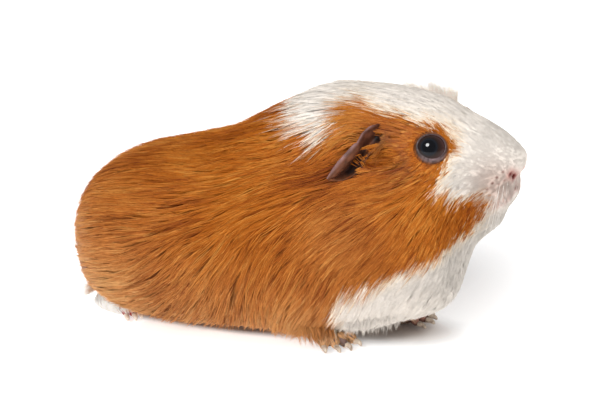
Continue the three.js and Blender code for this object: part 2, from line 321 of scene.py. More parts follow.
def one_surface(name: str, shape: BMesh, voxel: float, swelling: float, rounds: int) -> Mesh:
    """Some solids made one smooth closed surface, with the thin gaps between them shut.

    Args:
        name: of the mesh.
        shape: the solids, which are used up.
        voxel: the size of the faces.
        swelling: how far the solids grow first, to meet one another.
        rounds: how often the surface is smoothed.

    Returns:
        The surface.
    """
    shape.normal_update()
    for corner in shape.verts:
        corner.co += corner.normal * swelling
    piece = object_of(name, mesh_of(name, shape))
    remesh = piece.modifiers.new("surface", "REMESH")
    remesh.mode = "VOXEL"
    remesh.voxel_size = voxel
    even = piece.modifiers.new("even", "SMOOTH")
    even.factor = 0.5
    even.iterations = rounds
    mesh = applied(piece)
    mesh.shade_smooth()
    return mesh


# ---------------- finishes


@dataclass(frozen=True)
class CoatHair:
    """Smooth guinea pig hair: straight, glossy keratin that lies flat, so a row of hairs shines all along."""

    name: str = "guinea_pig_hair"
    roughness: float = 0.5
    shine: float = 0.08
    streak: float = 0.35 * MM  # about three real hairs side by side, the finest that shows
    tones: tuple[float, float] = (0.93, 1.07)  # the darkest and the lightest streak
    painted_glow: float = 0.0  # painted glow in the hair's own colour, in place of the light that comes through single white hairs

    def material(self) -> Material:
        """The coat's material, which reads the colour of each hair from its mesh."""
        material, tree, shader = new_material(self.name)
        colour = add_node(tree, "ShaderNodeAttribute", {"attribute_name": COLOUR}).outputs["Color"]
        place = add_node(tree, "ShaderNodeTexCoord").outputs["Object"]
        inputs = {"Vector": place, "Scale": 1 / (4 * self.streak), "Roughness": 0.6}
        fine = add_node(tree, "ShaderNodeTexNoise", inputs=inputs).outputs["Fac"]
        low, high = self.tones
        inputs = {"Value": fine, "From Min": 0.3, "From Max": 0.7, "To Min": low, "To Max": high}
        tone = add_node(tree, "ShaderNodeMapRange", inputs=inputs).outputs["Result"]
        inputs = {0: colour, "Scale": tone}
        varied = add_node(tree, "ShaderNodeVectorMath", {"operation": "SCALE"}, inputs).outputs[0]
        fill(shader, {
            "Base Color": varied,
            # the hair glows in its own colour, a painted light
            "Emission Color": varied,
            "Emission Strength": self.painted_glow,
            "Roughness": self.roughness,
            "Specular IOR Level": self.shine,
        })
        return material


@dataclass(frozen=True)
class Hide:
    """Bare hide with the shortest hair on it: soft, dull and finely grained along the lie of the hair."""

    roughness: float = 0.62
    shine: float = 0.08
    grain: float = 0.6 * MM  # the width of a clump of the shortest hair
    drawn: Spot = (0.3, 1.0, 1.0)  # the clumps are long from nose to rump
    height: float = 0.12 * MM

    def material(self) -> Material:
        """The hide's material, which reads its colour from its mesh."""
        material, tree, shader = new_material("guinea_pig_hide")
        colour = add_node(tree, "ShaderNodeAttribute", {"attribute_name": COLOUR}).outputs["Color"]
        place = add_node(tree, "ShaderNodeTexCoord").outputs["Object"]
        inputs = {"Vector": place, "Scale": self.drawn}
        drawn = add_node(tree, "ShaderNodeMapping", inputs=inputs).outputs["Vector"]
        inputs = {"Vector": drawn, "Scale": 1 / self.grain, "Detail": 4.0, "Roughness": 0.6}
        grain = add_node(tree, "ShaderNodeTexNoise", inputs=inputs).outputs["Fac"]
        inputs = {"Height": grain, "Distance": self.height, "Strength": 0.8}
        fill(shader, {
            "Base Color": colour,
            "Normal": add_node(tree, "ShaderNodeBump", inputs=inputs).outputs["Normal"],
            "Roughness": self.roughness,
            "Specular IOR Level": self.shine,
        })
        return material


@dataclass(frozen=True)
class WetEye:
    """A guinea pig's eye: a clear wet cornea over a nearly black brown iris, which mirrors the lights."""

    pupil: str = "030409"
    haze: str = "10151D"  # the blue of the lens at the pupil's edge
    iris: str = "20120D"
    rim: str = "3A1C16"
    stops: tuple[float, float, float, float] = (0.36, 0.46, 0.6, 0.95)  # where each of the four comes
    roughness: float = 0.3
    wet: float = 0.85
    wet_roughness: float = 0.05
    wet_ior: float = 1.33  # of tears

    def material(self) -> Material:
        """The eye's material. The mesh gives how far each place is from the pupil's middle."""
        material, tree, shader = new_material("wet_eye")
        far = add_node(tree, "ShaderNodeAttribute", {"attribute_name": FROM_PUPIL})
        ramp = add_node(tree, "ShaderNodeValToRGB", inputs={"Fac": far.outputs["Fac"]})
        stops = ramp.color_ramp.elements
        stops[0].position, stops[0].color = self.stops[0], linear(self.pupil)
        stops[1].position, stops[1].color = self.stops[3], linear(self.rim)
        for place, code in zip(self.stops[1:3], (self.haze, self.iris)):
            stops.new(place).color = linear(code)
        fill(shader, {
            "Base Color": ramp.outputs["Color"],
            "Roughness": self.roughness,
            "Specular IOR Level": 0.0,
            "Coat Weight": self.wet,
            "Coat Roughness": self.wet_roughness,
            "Coat IOR": self.wet_ior,
        })
        return material


@dataclass(frozen=True)
class BareSkin:
    """Thin bare skin, as on ears, lids and soles: fine creases, a faint oily shine and blood under it."""

    name: str
    roughness: float = 0.5
    crease: float = 0.5 * MM
    height: float = 0.05 * MM
    glow: float = 0.0
    shine: float = 0.25
    blood: Spot = (1.0, 0.35, 0.2)  # red light goes furthest through it
    deep: float = 0.8 * MM

    def material(self) -> Material:
        """The skin's material, which reads its colour from its mesh."""
        material, tree, shader = new_material(self.name)
        colour = add_node(tree, "ShaderNodeAttribute", {"attribute_name": COLOUR}).outputs["Color"]
        place = add_node(tree, "ShaderNodeTexCoord").outputs["Object"]
        inputs = {"Vector": place, "Scale": 1 / self.crease}
        cells = add_node(tree, "ShaderNodeTexVoronoi", inputs=inputs).outputs["Distance"]
        inputs = {"Height": cells, "Distance": self.height, "Strength": 0.6}
        fill(shader, {
            "Base Color": colour,
            "Normal": add_node(tree, "ShaderNodeBump", inputs=inputs).outputs["Normal"],
            "Roughness": self.roughness,
            "Specular IOR Level": self.shine,
            "Subsurface Weight": self.glow,
            "Subsurface Radius": self.blood,
            "Subsurface Scale": self.deep,
        })
        return material


@dataclass(frozen=True)
class Horn:
    """Claw horn: smooth and slightly clear keratin with growth lines across it."""

    pale: str
    dark: str
    line: float = 0.4 * MM
    roughness: float = 0.32
    ior: float = 1.54  # of keratin

    def material(self) -> Material:
        """The claws' material."""
        material, tree, shader = new_material("claw_horn")
        place = add_node(tree, "ShaderNodeTexCoord").outputs["Object"]
        inputs = {"Vector": place, "Scale": 1 / (4 * self.line), "Detail": 3.0}
        lines = add_node(tree, "ShaderNodeTexNoise", inputs=inputs).outputs["Fac"]
        ramp = add_node(tree, "ShaderNodeValToRGB", inputs={"Fac": lines})
        for stop, start, code in zip(ramp.color_ramp.elements, (0.3, 0.6), (self.dark, self.pale)):
            stop.position, stop.color = start, linear(code)
        fill(shader, {"Base Color": ramp.outputs["Color"], "Roughness": self.roughness, "IOR": self.ior})
        return material


# ---------------- where the hair lies, and its colours


@dataclass
class Lie:
    """Which way the hair lies. Between its guides the fall changes smoothly, and it parts round the eyes."""

    # each guide's X and Z on the side, in millimetres, and how many degrees below level the hair points
    guides: tuple[Spot, ...] = (
        (-69, 59, 5), (-72, 42, 8), (-65, 32, 12), (-66, 21, 22), (-52, 22, 32), (-40, 25, 25),
        (-28, 32, 48), (-16, 25, 80), (-4, 30, 84), (-12, 40, 62), (12, 32, 66), (27, 30, 62),
        (45, 39, 62), (66, 47, 50), (-25, 52, 22), (-5, 58, 30), (-46, 53, 10), (16, 49, 44),
        (14, 74, 25), (33, 54, 38), (46, 51, 52), (60, 56, 52), (73, 58, 50), (-11, 81, 10),
        (-34, 74, 6), (20, 86, 55), (13, 87, 38), (16, 98, 14), (45, 97, -12), (48, 88, 5),
        (53, 78, 25), (44, 75, 25), (33, 66, 22), (72, 70, 32), (80, 83, -20), (85, 68, 30),
        (79, 60, 60), (50, 18, 74), (-30, 12, 60), (0, 10, 75),
    )  # fmt: skip
    reach: float = 6 * MM
    parting: float = 9 * MM  # how far round an eye it parts
    parted: float = 1.6
    sway: float = 9.0  # degrees that the hair wavers to either side
    waver: Swell = field(default_factory=lambda: Swell(26 * MM, SEED))

    def at(self, places: Array, facings: Array, eyes: Sequence[Array]) -> Array:
        """The direction of the hair at places on the surface.

        Args:
            places: the places.
            facings: the outward direction at each.
            eyes: the middle of each eye, which the hair parts round.

        Returns:
            Unit vectors along the surface.
        """
        guides = np.array(self.guides, float)
        spots, falls = guides[:, :2] * MM, np.radians(guides[:, 2])
        away = ((places[:, None, [0, 2]] - spots) ** 2).sum(axis=2)
        weight = 1 / (away + self.reach**2) ** 2
        fall = (weight @ falls) / weight.sum(axis=1) + math.radians(self.sway) * self.waver.at(places)
        way = np.stack([-np.cos(fall), np.zeros(len(fall)), -np.sin(fall)], axis=1)
        for eye in eyes:
            off = places - eye
            way += self.parted * unit(off) * bell(np.linalg.norm(off, axis=1), self.parting)[:, None]
        way -= (way * facings).sum(axis=1, keepdims=True) * facings
        return unit(way)


@dataclass(frozen=True)
class Blot:
    """A soft round patch of another tone on the side of the animal. In millimetres."""

    x: float
    z: float
    reach: float
    amount: float
    tall: float = 1.0  # its height against its length

    def at(self, x: Array, z: Array) -> Array:
        """How strong it is at places on the side."""
        return self.amount * bell(np.hypot(x - self.x, (z - self.z) / self.tall), self.reach)


@dataclass
class Markings:
    """The ginger and white of the coat. The white's edge is a line on the side, in millimetres of X and Z."""

    nape: tuple[tuple[float, float], ...] = (
        (-4, 130), (-4, 96.5), (-1.6, 91.5), (4.2, 89), (9.4, 86.3), (14.1, 83.9), (17, 82.5), (19.2, 85.1),
        (20.4, 89.5), (21, 93.3), (21.6, 95.8), (23.4, 97.6),
    )  # fmt: skip
    crown: tuple[tuple[float, float], ...] = (
        (26.5, 98.9), (30.3, 99), (33.2, 98.1), (35.9, 97), (39.7, 96.2), (45.2, 95.8), (51, 94.6),
        (55.1, 93.1),
    )  # fmt: skip
    eye_patch: tuple[tuple[float, float], ...] = (
        (58.8, 93.4), (62.6, 92.6), (65.9, 91), (68.6, 88.2), (69.8, 85), (69, 82), (67.6, 79.4),
        (66.8, 76.8), (65.9, 74), (64.8, 71.9),
    )  # fmt: skip
    cheek: tuple[tuple[float, float], ...] = (
        (66.8, 69.6), (69.3, 67.1), (72.2, 64.6), (75.2, 65.8), (78.4, 67.4), (80.2, 66.6), (81.2, 63.2),
        (80, 59.2),
    )  # fmt: skip
    throat: tuple[tuple[float, float], ...] = (
        (77.4, 55), (74.4, 51.2), (70.8, 48.5), (66.5, 43.6), (62, 39.6), (56.4, 37.5), (50.6, 34.8),
        (46.2, 31.9), (41.1, 28.9), (36.1, 26.7), (30.3, 24.8), (26.9, 22.9), (25.7, 18.4), (26.1, 11.6),
    )  # fmt: skip
    belly: tuple[tuple[float, float], ...] = ((20, 3), (-30, 2), (-30, -20), (130, -20), (130, 130))
    ginger: str = "BD6616"
    bright_ginger: str = "D68C3A"
    pale_ginger: str = "DEAA72"
    deep_ginger: str = "8C420A"
    white: str = "F5EDE4"
    cream: str = "EBE0D3"
    warmed: str = "F4DDBE"  # the white beside the ginger
    # also painted at the ear's front, as shade in the hair
    thin: str = "6E4C2C"  # dark skin that shows through the thin hair between eye and ear
    edge: float = 1.3 * MM  # how wide the edge of the white is
    warmth: tuple[float, float] = (0.7, 3.5 * MM)  # how strong and how wide the warmed white is
    turn: Spot = (0.8, 1.15, 1.8)  # blue comes last, so that the edge is peach and not mauve
    ragged_by: tuple[Blot, ...] = (Blot(8, 88, 16, 1.3), Blot(76, 66, 10, 1.0))
    paler: tuple[Blot, ...] = (Blot(-62, 24, 24, 0.3), Blot(-88, 12, 9, 0.7), Blot(30, 50, 18, 0.2))
    pale_hem: tuple[float, float] = (24, 0.65)  # how high the hem is paler, and by how much
    pale_rump: tuple[float, float, float] = (-90, 24, 0.2)  # where the rump is, and the same
    # the blot at (42, 76) darkens the hair under the ear's opening, a painted shade
    lighter: tuple[Blot, ...] = (Blot(30, 50, 18, -0.3), Blot(42, 76, 4.5, -0.8), Blot(25, 88, 10, 0.6))
    # thin hair showing the skin; the blot at (43.5, 87), at the ear's front, is painted shade
    thinner: tuple[Blot, ...] = (
        Blot(49, 77, 3.6, 0.55, 1.3), Blot(47, 71, 3, 0.55), Blot(43.5, 87, 2.6, 0.75, 1.6),
        Blot(53, 80.5, 1.6, 0.7, 1.6), Blot(54.5, 76, 1.8, 0.6, 1.4),
    )  # fmt: skip
    # painted shade on the white: darker under the chin, on the chest and on the face
    painted_shade_blots: tuple[Blot, ...] = (Blot(80, 54, 13, 0.2), Blot(66, 36, 22, 0.25), Blot(78, 74, 14, 0.1))
    shade: Swell = field(default_factory=lambda: Swell(34 * MM, SEED + 1))
    ragged: Swell = field(default_factory=lambda: Swell(7 * MM, SEED + 2))

    def line(self) -> Array:
        """The whole closed edge of the white, in metres."""
        return np.array(self.nape + self.crown + self.eye_patch + self.cheek + self.throat + self.belly) * MM

    def beyond(self, places: Array) -> Array:
        """How far each place is inside the white, in metres, and negative in the ginger."""
        return within(places[:, [0, 2]], self.line())

    def whiteness(self, places: Array) -> Array:
        """How far places are in the white, from 0 in the ginger to 1, softly over the edge."""
        return smooth(self.beyond(places) / (3 * MM) + 0.5)

    def red(self, x: Array, z: Array, light: Array) -> Array:
        """The ginger at places on the side.

        Args:
            x: how far ahead they are, in millimetres.
            z: how high they are.
            light: how light the hair is, from -1.2 to 1.

        Returns:
            A linear colour for each place.
        """
        # where skin shows through thin hair, and painted shade at the ear's front
        bare = np.max([blot.at(x, z) for blot in self.thinner], axis=0)
        ginger = mixed(mixed(rgb(self.ginger), self.thin, bare), self.bright_ginger, np.maximum(light, 0))
        ginger = mixed(ginger, self.deep_ginger, np.maximum(-light, 0))
        reach, hem = self.pale_hem
        rump_x, rump_reach, rump = self.pale_rump
        pale = hem * bell(z, reach) + rump * bell(x - rump_x, rump_reach)
        pale = pale + sum(blot.at(x, z) for blot in self.paler)
        return mixed(ginger, self.pale_ginger, np.clip(pale * (0.75 + 0.5 * light), 0, 0.85))

    def colour(self, places: Array, stray: Array | float = 0.0, tone: Array | float = 0.0) -> Array:
        """The colour of the hair at places on the animal.

        Args:
            places: the places.
            stray: how far each hair's colour strays over the edge of the white, in metres.
            tone: how much lighter than the usual each hair is, from about -1 to 1.

        Returns:
            A linear colour for each place.
        """
        x, z = places[:, 0] / MM, places[:, 2] / MM
        rough = 1.0 + sum(blot.at(x, z) for blot in self.ragged_by)
        edge = self.beyond(places) + rough * (stray + 0.5 * MM * self.ragged.at(places))
        light = 0.42 * self.shade.at(places) + 0.6 * np.asarray(tone) + sum(b.at(x, z) for b in self.lighter)
        light = np.clip(light, -1.2, 1)
        milk = mixed(rgb(self.white), self.cream, np.clip(0.4 - 0.25 * light, 0, 1))
        # painted shade on the white
        milk = milk * (1 - sum(blot.at(x, z) for blot in self.painted_shade_blots))[:, None]
        warm, reach = self.warmth
        milk = mixed(milk, self.warmed, warm * (1 - smooth(edge / reach)))
        red = self.red(x, z, light)
        return red + (milk - red) * smooth(edge / self.edge + 0.5)[:, None] ** self.turn


# ---------------- the form under the coat


class Surface:
    """A closed surface that hair can grow on: its places, its outward directions and a quick search."""

    def __init__(self, mesh: Mesh) -> None:
        """Reads a mesh.

        Args:
            mesh: the mesh.
        """
        self.mesh = mesh
        self.places = places_of(mesh)
        self.facings = facings_of(mesh)
        mesh.calc_loop_triangles()
        corners = np.empty(len(mesh.loop_triangles) * 3, np.int32)
        mesh.loop_triangles.foreach_get("vertices", corners)
        self.corners = corners.reshape(-1, 3)
        self.tree = BVHTree.FromPolygons(self.places.tolist(), self.corners.tolist())
        a, b, c = (self.places[self.corners[:, k]] for k in range(3))
        self.middles = (a + b + c) / 3
        self.areas = np.linalg.norm(np.cross(b - a, c - a), axis=1) / 2

    def nearest(self, places: Array) -> tuple[Array, Array]:
        """Finds the nearest places on the surface.

        Args:
            places: where to look from.

        Returns:
            The places on the surface and the outward directions there.
        """
        found, facing = np.empty_like(places), np.empty_like(places)
        seek = self.tree.find_nearest
        for i, place in enumerate(places.tolist()):
            found[i], facing[i] = seek(place)[:2]
        return found, facing

    def spots(self, count: int, weight: Array, draw: Draw) -> tuple[Array, Array]:
        """Random places on the surface.

        Args:
            count: how many.
            weight: how likely each triangle is, for each square metre.
            draw: the random draw.

        Returns:
            The places and the outward directions there.
        """
        share = weight * self.areas
        chosen = draw.choice(len(share), count, p=share / share.sum())
        mix = draw.dirichlet((1, 1, 1), count)[:, :, None]
        corners = self.corners[chosen]
        return (self.places[corners] * mix).sum(axis=1), unit((self.facings[corners] * mix).sum(axis=1))


@dataclass(frozen=True)
class Recess:
    """How far the lips are laid back under the nose, and over what lengths that begins. In millimetres."""

    back: float = 2.1
    top: float = 75.5
    below_top: float = 6
    bottom: float = 51
    above_bottom: float = 7
    behind: float = 75
    to_front: float = 11

    def applied(self, places: Array) -> Array:
        """Places on the muzzle with its front laid back between nose and chin.

        Args:
            places: the places, in millimetres.

        Returns:
            Their new places.
        """
        x, z = places[:, 0], places[:, 2]
        high = smooth((self.top - z) / self.below_top) * smooth((z - self.bottom) / self.above_bottom)
        back = self.back * high * smooth((x - self.behind) / self.to_front)
        return places - back[:, None] * (1, 0, 0)


class Form(Surface):
    """The outer surface of the animal, out to the tips of the hair, as one smooth skin."""

    flesh: tuple[str, ...] = (
        "torso", "neck", "head", "foreleg_right", "foreleg_left", "hindleg_right", "hindleg_left",
    )  # fmt: skip
    voxel: float = 1.1 * MM
    swelling: float = 0.2 * MM
    creases: tuple[Spot, ...] = ((57, 20, 31), (55, 19, 27), (53, 17.5, 23))  # between chest and upper arm
    eased: float = 5 * MM  # how far round a crease the surface is evened out
    easings: int = 25
    locks: tuple[Spot, Spot] = ((42, 2, 85), (68, 25, 200))  # the box of the solid's locks, in millimetres

    def __init__(self) -> None:
        """Makes the surface from the solids of flesh and the eyes, so that it is whole over the sockets."""
        shape = copied(self.flesh + tuple(f"eye_{side}" for side in SIDES))
        self.flatten_locks(shape)
        mesh = one_surface("form", shape, self.voxel, self.swelling, 14)
        self.ease_creases(mesh)
        places = places_of(mesh)
        for side in SIDES:
            places = Eye(side).settled(places, False)
        move_to(mesh, Recess().applied(places / MM) * MM)
        super().__init__(mesh)
        self.eyes = [Eye(side).middle for side in SIDES]

    def ease_creases(self, mesh: Mesh) -> None:
        """Evens out the creases between chest and upper arms, which the hair fills.

        Args:
            mesh: the surface.
        """
        shape = bmesh.new()
        shape.from_mesh(mesh)
        creases = [Vector((x, y * side, z)) * MM for x, y, z in self.creases for side in SIDES.values()]
        near = [v for v in shape.verts if min((v.co - crease).length for crease in creases) < self.eased]
        for _ in range(self.easings):
            bmesh.ops.smooth_vert(
                shape, verts=near, factor=0.5, use_axis_x=True, use_axis_y=True, use_axis_z=True
            )
        shape.to_mesh(mesh)
        shape.free()

    def flatten_locks(self, shape: BMesh) -> None:
        """Lays down the solid's locks on the left of the crown, which the coat builds as hair.

        Args:
            shape: the solids, whose crown comes to the height of its other side.
        """
        other = BVHTree.FromBMesh(shape)
        low, high = self.locks
        for corner in shape.verts:
            x, y, z = corner.co
            if all(a * MM < value < b * MM for a, value, b in zip(low, corner.co, high)):
                hit = other.ray_cast(Vector((x, -y, 0.2)), Vector((0, 0, -1)))[0]
                corner.co.z = min(z, hit.z)


@dataclass
class Depth:
    """How deep, long and wide the hair is at stations of X. In millimetres."""

    eyes: Sequence[Array]
    stations: tuple[float, ...] = (-90, -60, 0, 30, 45, 58, 68, 76, 83, 88, 91)
    depths: tuple[float, ...] = (3.0, 3.2, 3.3, 3.1, 2.6, 2.0, 1.3, 0.8, 0.5, 0.35, 0.25)
    lengths: tuple[float, ...] = (13, 15, 16, 16, 15, 12, 8.0, 4.6, 2.8, 1.7, 1.3)
    widths: tuple[float, ...] = (0.19, 0.19, 0.19, 0.19, 0.17, 0.15, 0.13, 0.12, 0.10, 0.08, 0.07)
    ear: Spot = (46, 27, 80)  # before the ear, where the hair is short
    ear_share: float = 0.55  # the share of the depth that is left there
    foot_share: float = 0.45  # and low on the legs
    eye_share: float = 0.22  # and at the lids
    crown_share: float = 0.65  # and on the crown, whose hair lies flat

    def at(self, places: Array, values: Sequence[float]) -> Array:
        """A value given at the stations, at other places, in metres."""
        return np.interp(places[:, 0] / MM, self.stations, values) * MM

    def share(self, places: Array) -> Array:
        """The share of the coat's depth that is left beside the eyes, before the ears and low on the legs.

        Args:
            places: the places.

        Returns:
            A share for each.
        """
        left = self.foot_share + (1 - self.foot_share) * smooth((places[:, 2] / MM - 3) / 12)
        for eye in self.eyes:
            near = 1 - smooth((np.linalg.norm(places - eye, axis=1) / MM - 6.5) / 9)
            left = left * (1 - (1 - self.eye_share) * near)
        near = bell(np.linalg.norm(righted(places) - self.ear, axis=1), 6)
        return left * (1 - (1 - self.ear_share) * near)

    def deep(self, places: Array) -> Array:
        """The depth of the coat at places, in metres."""
        crown = smooth((places[:, 2] / MM - 84) / 10) * smooth((places[:, 0] / MM - 30) / 15)
        return self.at(places, self.depths) * self.share(places) * (1 - (1 - self.crown_share) * crown)

    def long(self, places: Array) -> Array:
        """The length of the hair at places, in metres."""
        return self.at(places, self.lengths) * (0.1 + 0.9 * self.share(places))

    def wide(self, places: Array) -> Array:
        """The half width of a hair at places, in metres."""
        return self.at(places, self.widths)


def righted(places: Array) -> Array:
    """Places in metres as millimetres, with those of one side laid over those of the other."""
    return np.abs(places / MM) * (0, 1, 0) + places / MM * (1, 0, 1)


def unwrapped(places: Array) -> Array:
    """Where places on the animal come on an unwrap of its own shape, opened along the belly.

    Args:
        places: the places.

    Returns:
        Two values from 0 to 1 for each: round the body, and along it from rump to nose.
    """
    x, y, z = places.T / MM
    axis = np.interp(x, (-90, -40, 14, 47, 69, 90), (34, 37, 50, 58, 66, 73))
    around = 0.5 + np.arctan2(y, z - axis) / (2 * math.pi)
    slant = np.hypot(y, z - axis)
    ahead = x + 0.4 * np.clip(x - 60, 0, 40) - 0.4 * np.clip(-60 - x, 0, 40)  # nose and rump are drawn out
    along = (ahead + 110) / 230 + 0.0006 * (30 - slant) * np.sign(x)
    return 0.02 + 0.96 * np.clip(np.stack([around, along], axis=1), 0, 1)


@dataclass(frozen=True)
class Fold:
    """A line on the right of the muzzle where the hide sinks in or rises, in millimetres."""

    path: tuple[Spot, ...]
    rise: float
    reach: float


@dataclass(frozen=True)
class Showing:
    """How strongly the muzzle's bare places show in the hide, or in the hair over it, from 0 to 1."""

    root: float
    nostril: float
    nostril_reach: float  # in millimetres
    mouth: float
    cleft: float


@dataclass
class Muzzle:
    """Nose, nostrils, cleft and mouth: grooves in the hide and bare pink skin round them. In millimetres."""

    form: Form
    nostril: Fold = Fold(((88.2, 7.6, 74.7), (89.2, 5.8, 73.7), (90.0, 4.4, 72.6)), -2.4, 0.85)
    cleft: Fold = Fold(((90.6, 0, 74.5), (90.6, 0, 71), (90.0, 0, 67.5)), -0.7, 0.7)
    mouth: Fold = Fold(((90.6, 0, 67.5), (89.8, 5, 66), (87.4, 10, 63.8), (84.6, 12, 62.4)), -0.8, 0.65)
    wing: Fold = Fold(((87.5, 7.5, 76.5), (89.4, 4.6, 76.4), (90.4, 2.0, 75.0)), 0.45, 1.3)
    lip: Fold = Fold(((89.6, 0, 64.8), (88.4, 5, 63.6), (85.5, 9.5, 61.2)), 0.5, 1.2)
    roots: tuple[Spot, ...] = (
        (86.2, 10.7, 76.1), (84.8, 12.3, 74.1), (87.6, 9.8, 72.6), (86.4, 11.2, 71.4), (84.4, 12.9, 71.8),
        (87.2, 10.3, 69.9), (85.4, 12.1, 69.3), (83.0, 13.7, 69.6), (86.6, 10.6, 67.6), (84.4, 12.7, 66.9),
    )  # fmt: skip
    pad: tuple[int, int] = (4, 7)  # which of the roots are in the middle of the whiskers' pad
    pink: str = "BE786C"
    # the dark red inside the nostril: the skin's own red, and painted shade where the opening is
    blood: str = "621814"
    seam: str = "A9786C"
    root: str = "56281E"
    veiled: str = "C0A69A"  # pink skin seen through thin white hair
    pit: float = 0.75  # how far the hair stays from the root of a whisker
    on_hide: Showing = Showing(root=0.95, nostril=0.95, nostril_reach=2.3, mouth=0.7, cleft=0.8)
    on_hair: Showing = Showing(root=0.85, nostril=0.8, nostril_reach=2.0, mouth=0.25, cleft=0.4)
    recess: Recess = Recess()

    def away(self, places: Array, path: Sequence[Spot]) -> Array:
        """How far places are from a path on either side of the muzzle.

        Args:
            places: the places, in metres.
            path: its corners, in millimetres, as they are before the lips are laid back.

        Returns:
            A distance in millimetres for each place.
        """
        here = righted(places)
        least = np.full(len(here), np.inf)
        path = self.recess.applied(np.array(path, float))
        for start, end in zip(path[:-1], path[1:]):
            along = end - start
            share = np.clip(((here - start) @ along) / max(along @ along, 1e-9), 0, 1)
            least = np.minimum(least, np.linalg.norm(here - start - share[:, None] * along, axis=1))
        return least

    def near(self, places: Array, fold: Fold, reach: float) -> Array:
        """How near places are to a fold, from 0 to 1 on it."""
        return bell(self.away(places, fold.path), reach)

    def bare(self, places: Array) -> Array:
        """How bare the skin is at places, from 0 in the coat to 1."""
        bare = self.near(places, self.cleft, 0.8) + self.near(places, self.mouth, 0.7)
        return np.clip(1.3 * self.near(places, self.nostril, 2.1) + bare, 0, 1)

    def near_root(self, places: Array) -> Array:
        """Whether places are over the bare root of a whisker."""
        return np.min([self.away(places, (spot, spot)) for spot in self.roots], axis=0) < self.pit

    def pushed(self, places: Array) -> Array:
        """How far the hide rises at places, in metres, and negative in its grooves."""
        folds = (self.nostril, self.cleft, self.mouth, self.wing, self.lip)
        return sum(fold.rise * self.near(places, fold, fold.reach) for fold in folds) * MM

    def tinted(self, places: Array, colours: Array, hide: bool) -> Array:
        """Colours with those of the bare skin mixed in.

        Args:
            places: the places.
            colours: the coat's colours there.
            hide: whether this is the hide itself, and not hair over it.

        Returns:
            The mixed colours.
        """
        show = self.on_hide if hide else self.on_hair
        white = colours[:, 2] > 0.35
        pad = bell(self.away(places, self.roots[slice(*self.pad)]), 8.5)
        colours = mixed(colours, self.veiled, 0.8 * pad * white)
        spots = np.max([bell(self.away(places, (spot, spot)), 0.66) for spot in self.roots], axis=0)
        colours = mixed(colours, self.root, show.root * spots)
        nose = show.nostril * self.near(places, self.nostril, show.nostril_reach)
        mouth = show.mouth * self.near(places, self.mouth, 1.6)
        cleft = show.cleft * self.near(places, self.cleft, 1.5)
        colours = mixed(colours, self.pink, np.max([nose, mouth, cleft], axis=0))
        if hide:
            colours = mixed(colours, self.seam, 0.8 * self.near(places, self.mouth, 0.6))
            # painted dark red inside the nostril: its skin, and painted shade in the opening
            inside = np.clip(1.7 * self.near(places, self.nostril, 1.15), 0, 1)
            colours = mixed(colours, self.blood, inside)
        return colours


@dataclass
class HideSkin:
    """The hide: one skin under the coat, inside the form by the coat's depth, with the muzzle's features."""

    form: Form
    depth: Depth
    markings: Markings
    muzzle: Muzzle
    hollow: float = 4.2 * MM  # how deep the hide lies under the ear's cup
    skin: str = "4A2C1C"  # brown skin, bare round the eyes and in the ears
    under_coat: tuple[float, float] = (0.85, 0.98)  # how light ginger and white are under the hair
    finer_at_eyes: float = 10 * MM
    finer_from: tuple[float, float] = (76 * MM, 81 * MM)  # the muzzle's faces get smaller from here on
    bare_at_eyes: float = 6.8

    def refined(self) -> Mesh:
        """Divides the form's faces round the eyes and on the muzzle.

        Returns:
            The finer mesh.
        """
        shape = bmesh.new()
        shape.from_mesh(self.form.mesh)
        eyes, reach = [Vector(eye) for eye in self.form.eyes], self.finer_at_eyes
        near = [e for e in shape.edges if min((e.verts[0].co - eye).length for eye in eyes) < reach]
        bmesh.ops.subdivide_edges(shape, edges=near, cuts=1, use_grid_fill=True)
        for front in self.finer_from:
            edges = [e for e in shape.edges if min(e.verts[0].co.x, e.verts[1].co.x) > front]
            bmesh.ops.subdivide_edges(shape, edges=edges, cuts=1, use_grid_fill=True, smooth=0.0)
        bmesh.ops.triangulate(shape, faces=[f for f in shape.faces if len(f.verts) > 4])
        return mesh_of("hide", shape)

    def build(self) -> None:
        """Makes the hide."""
        mesh = self.refined()
        outer, facings = places_of(mesh), facings_of(mesh)
        rise = self.muzzle.pushed(outer) - self.depth.deep(outer)
        places = outer + facings * rise[:, None]
        bare = np.zeros(len(outer))
        for side in SIDES:
            eye, cover = Eye(side), Ear(side).cover(outer)
            places = eye.settled(places, True)
            places = places - facings * (self.hollow * smooth(cover / (2.4 * MM) + 0.1))[:, None]
            from_eye = np.linalg.norm(outer - eye.middle, axis=1) / MM
            lids = 1 - smooth((from_eye - self.bare_at_eyes) / 0.8)
            bare = np.max([bare, smooth(cover / (1.5 * MM) + 1), lids], axis=0)
        move_to(mesh, places)
        ginger, white = self.under_coat
        light = ginger + (white - ginger) * self.markings.whiteness(outer)
        colours = mixed(self.markings.colour(outer) * light[:, None], self.skin, bare)
        paint(mesh, self.muzzle.tinted(outer, colours, True))
        finish(object_of("hide", mesh), Hide().material(), "coat_ginger", *Form.flesh)


# ---------------- eyes and ears


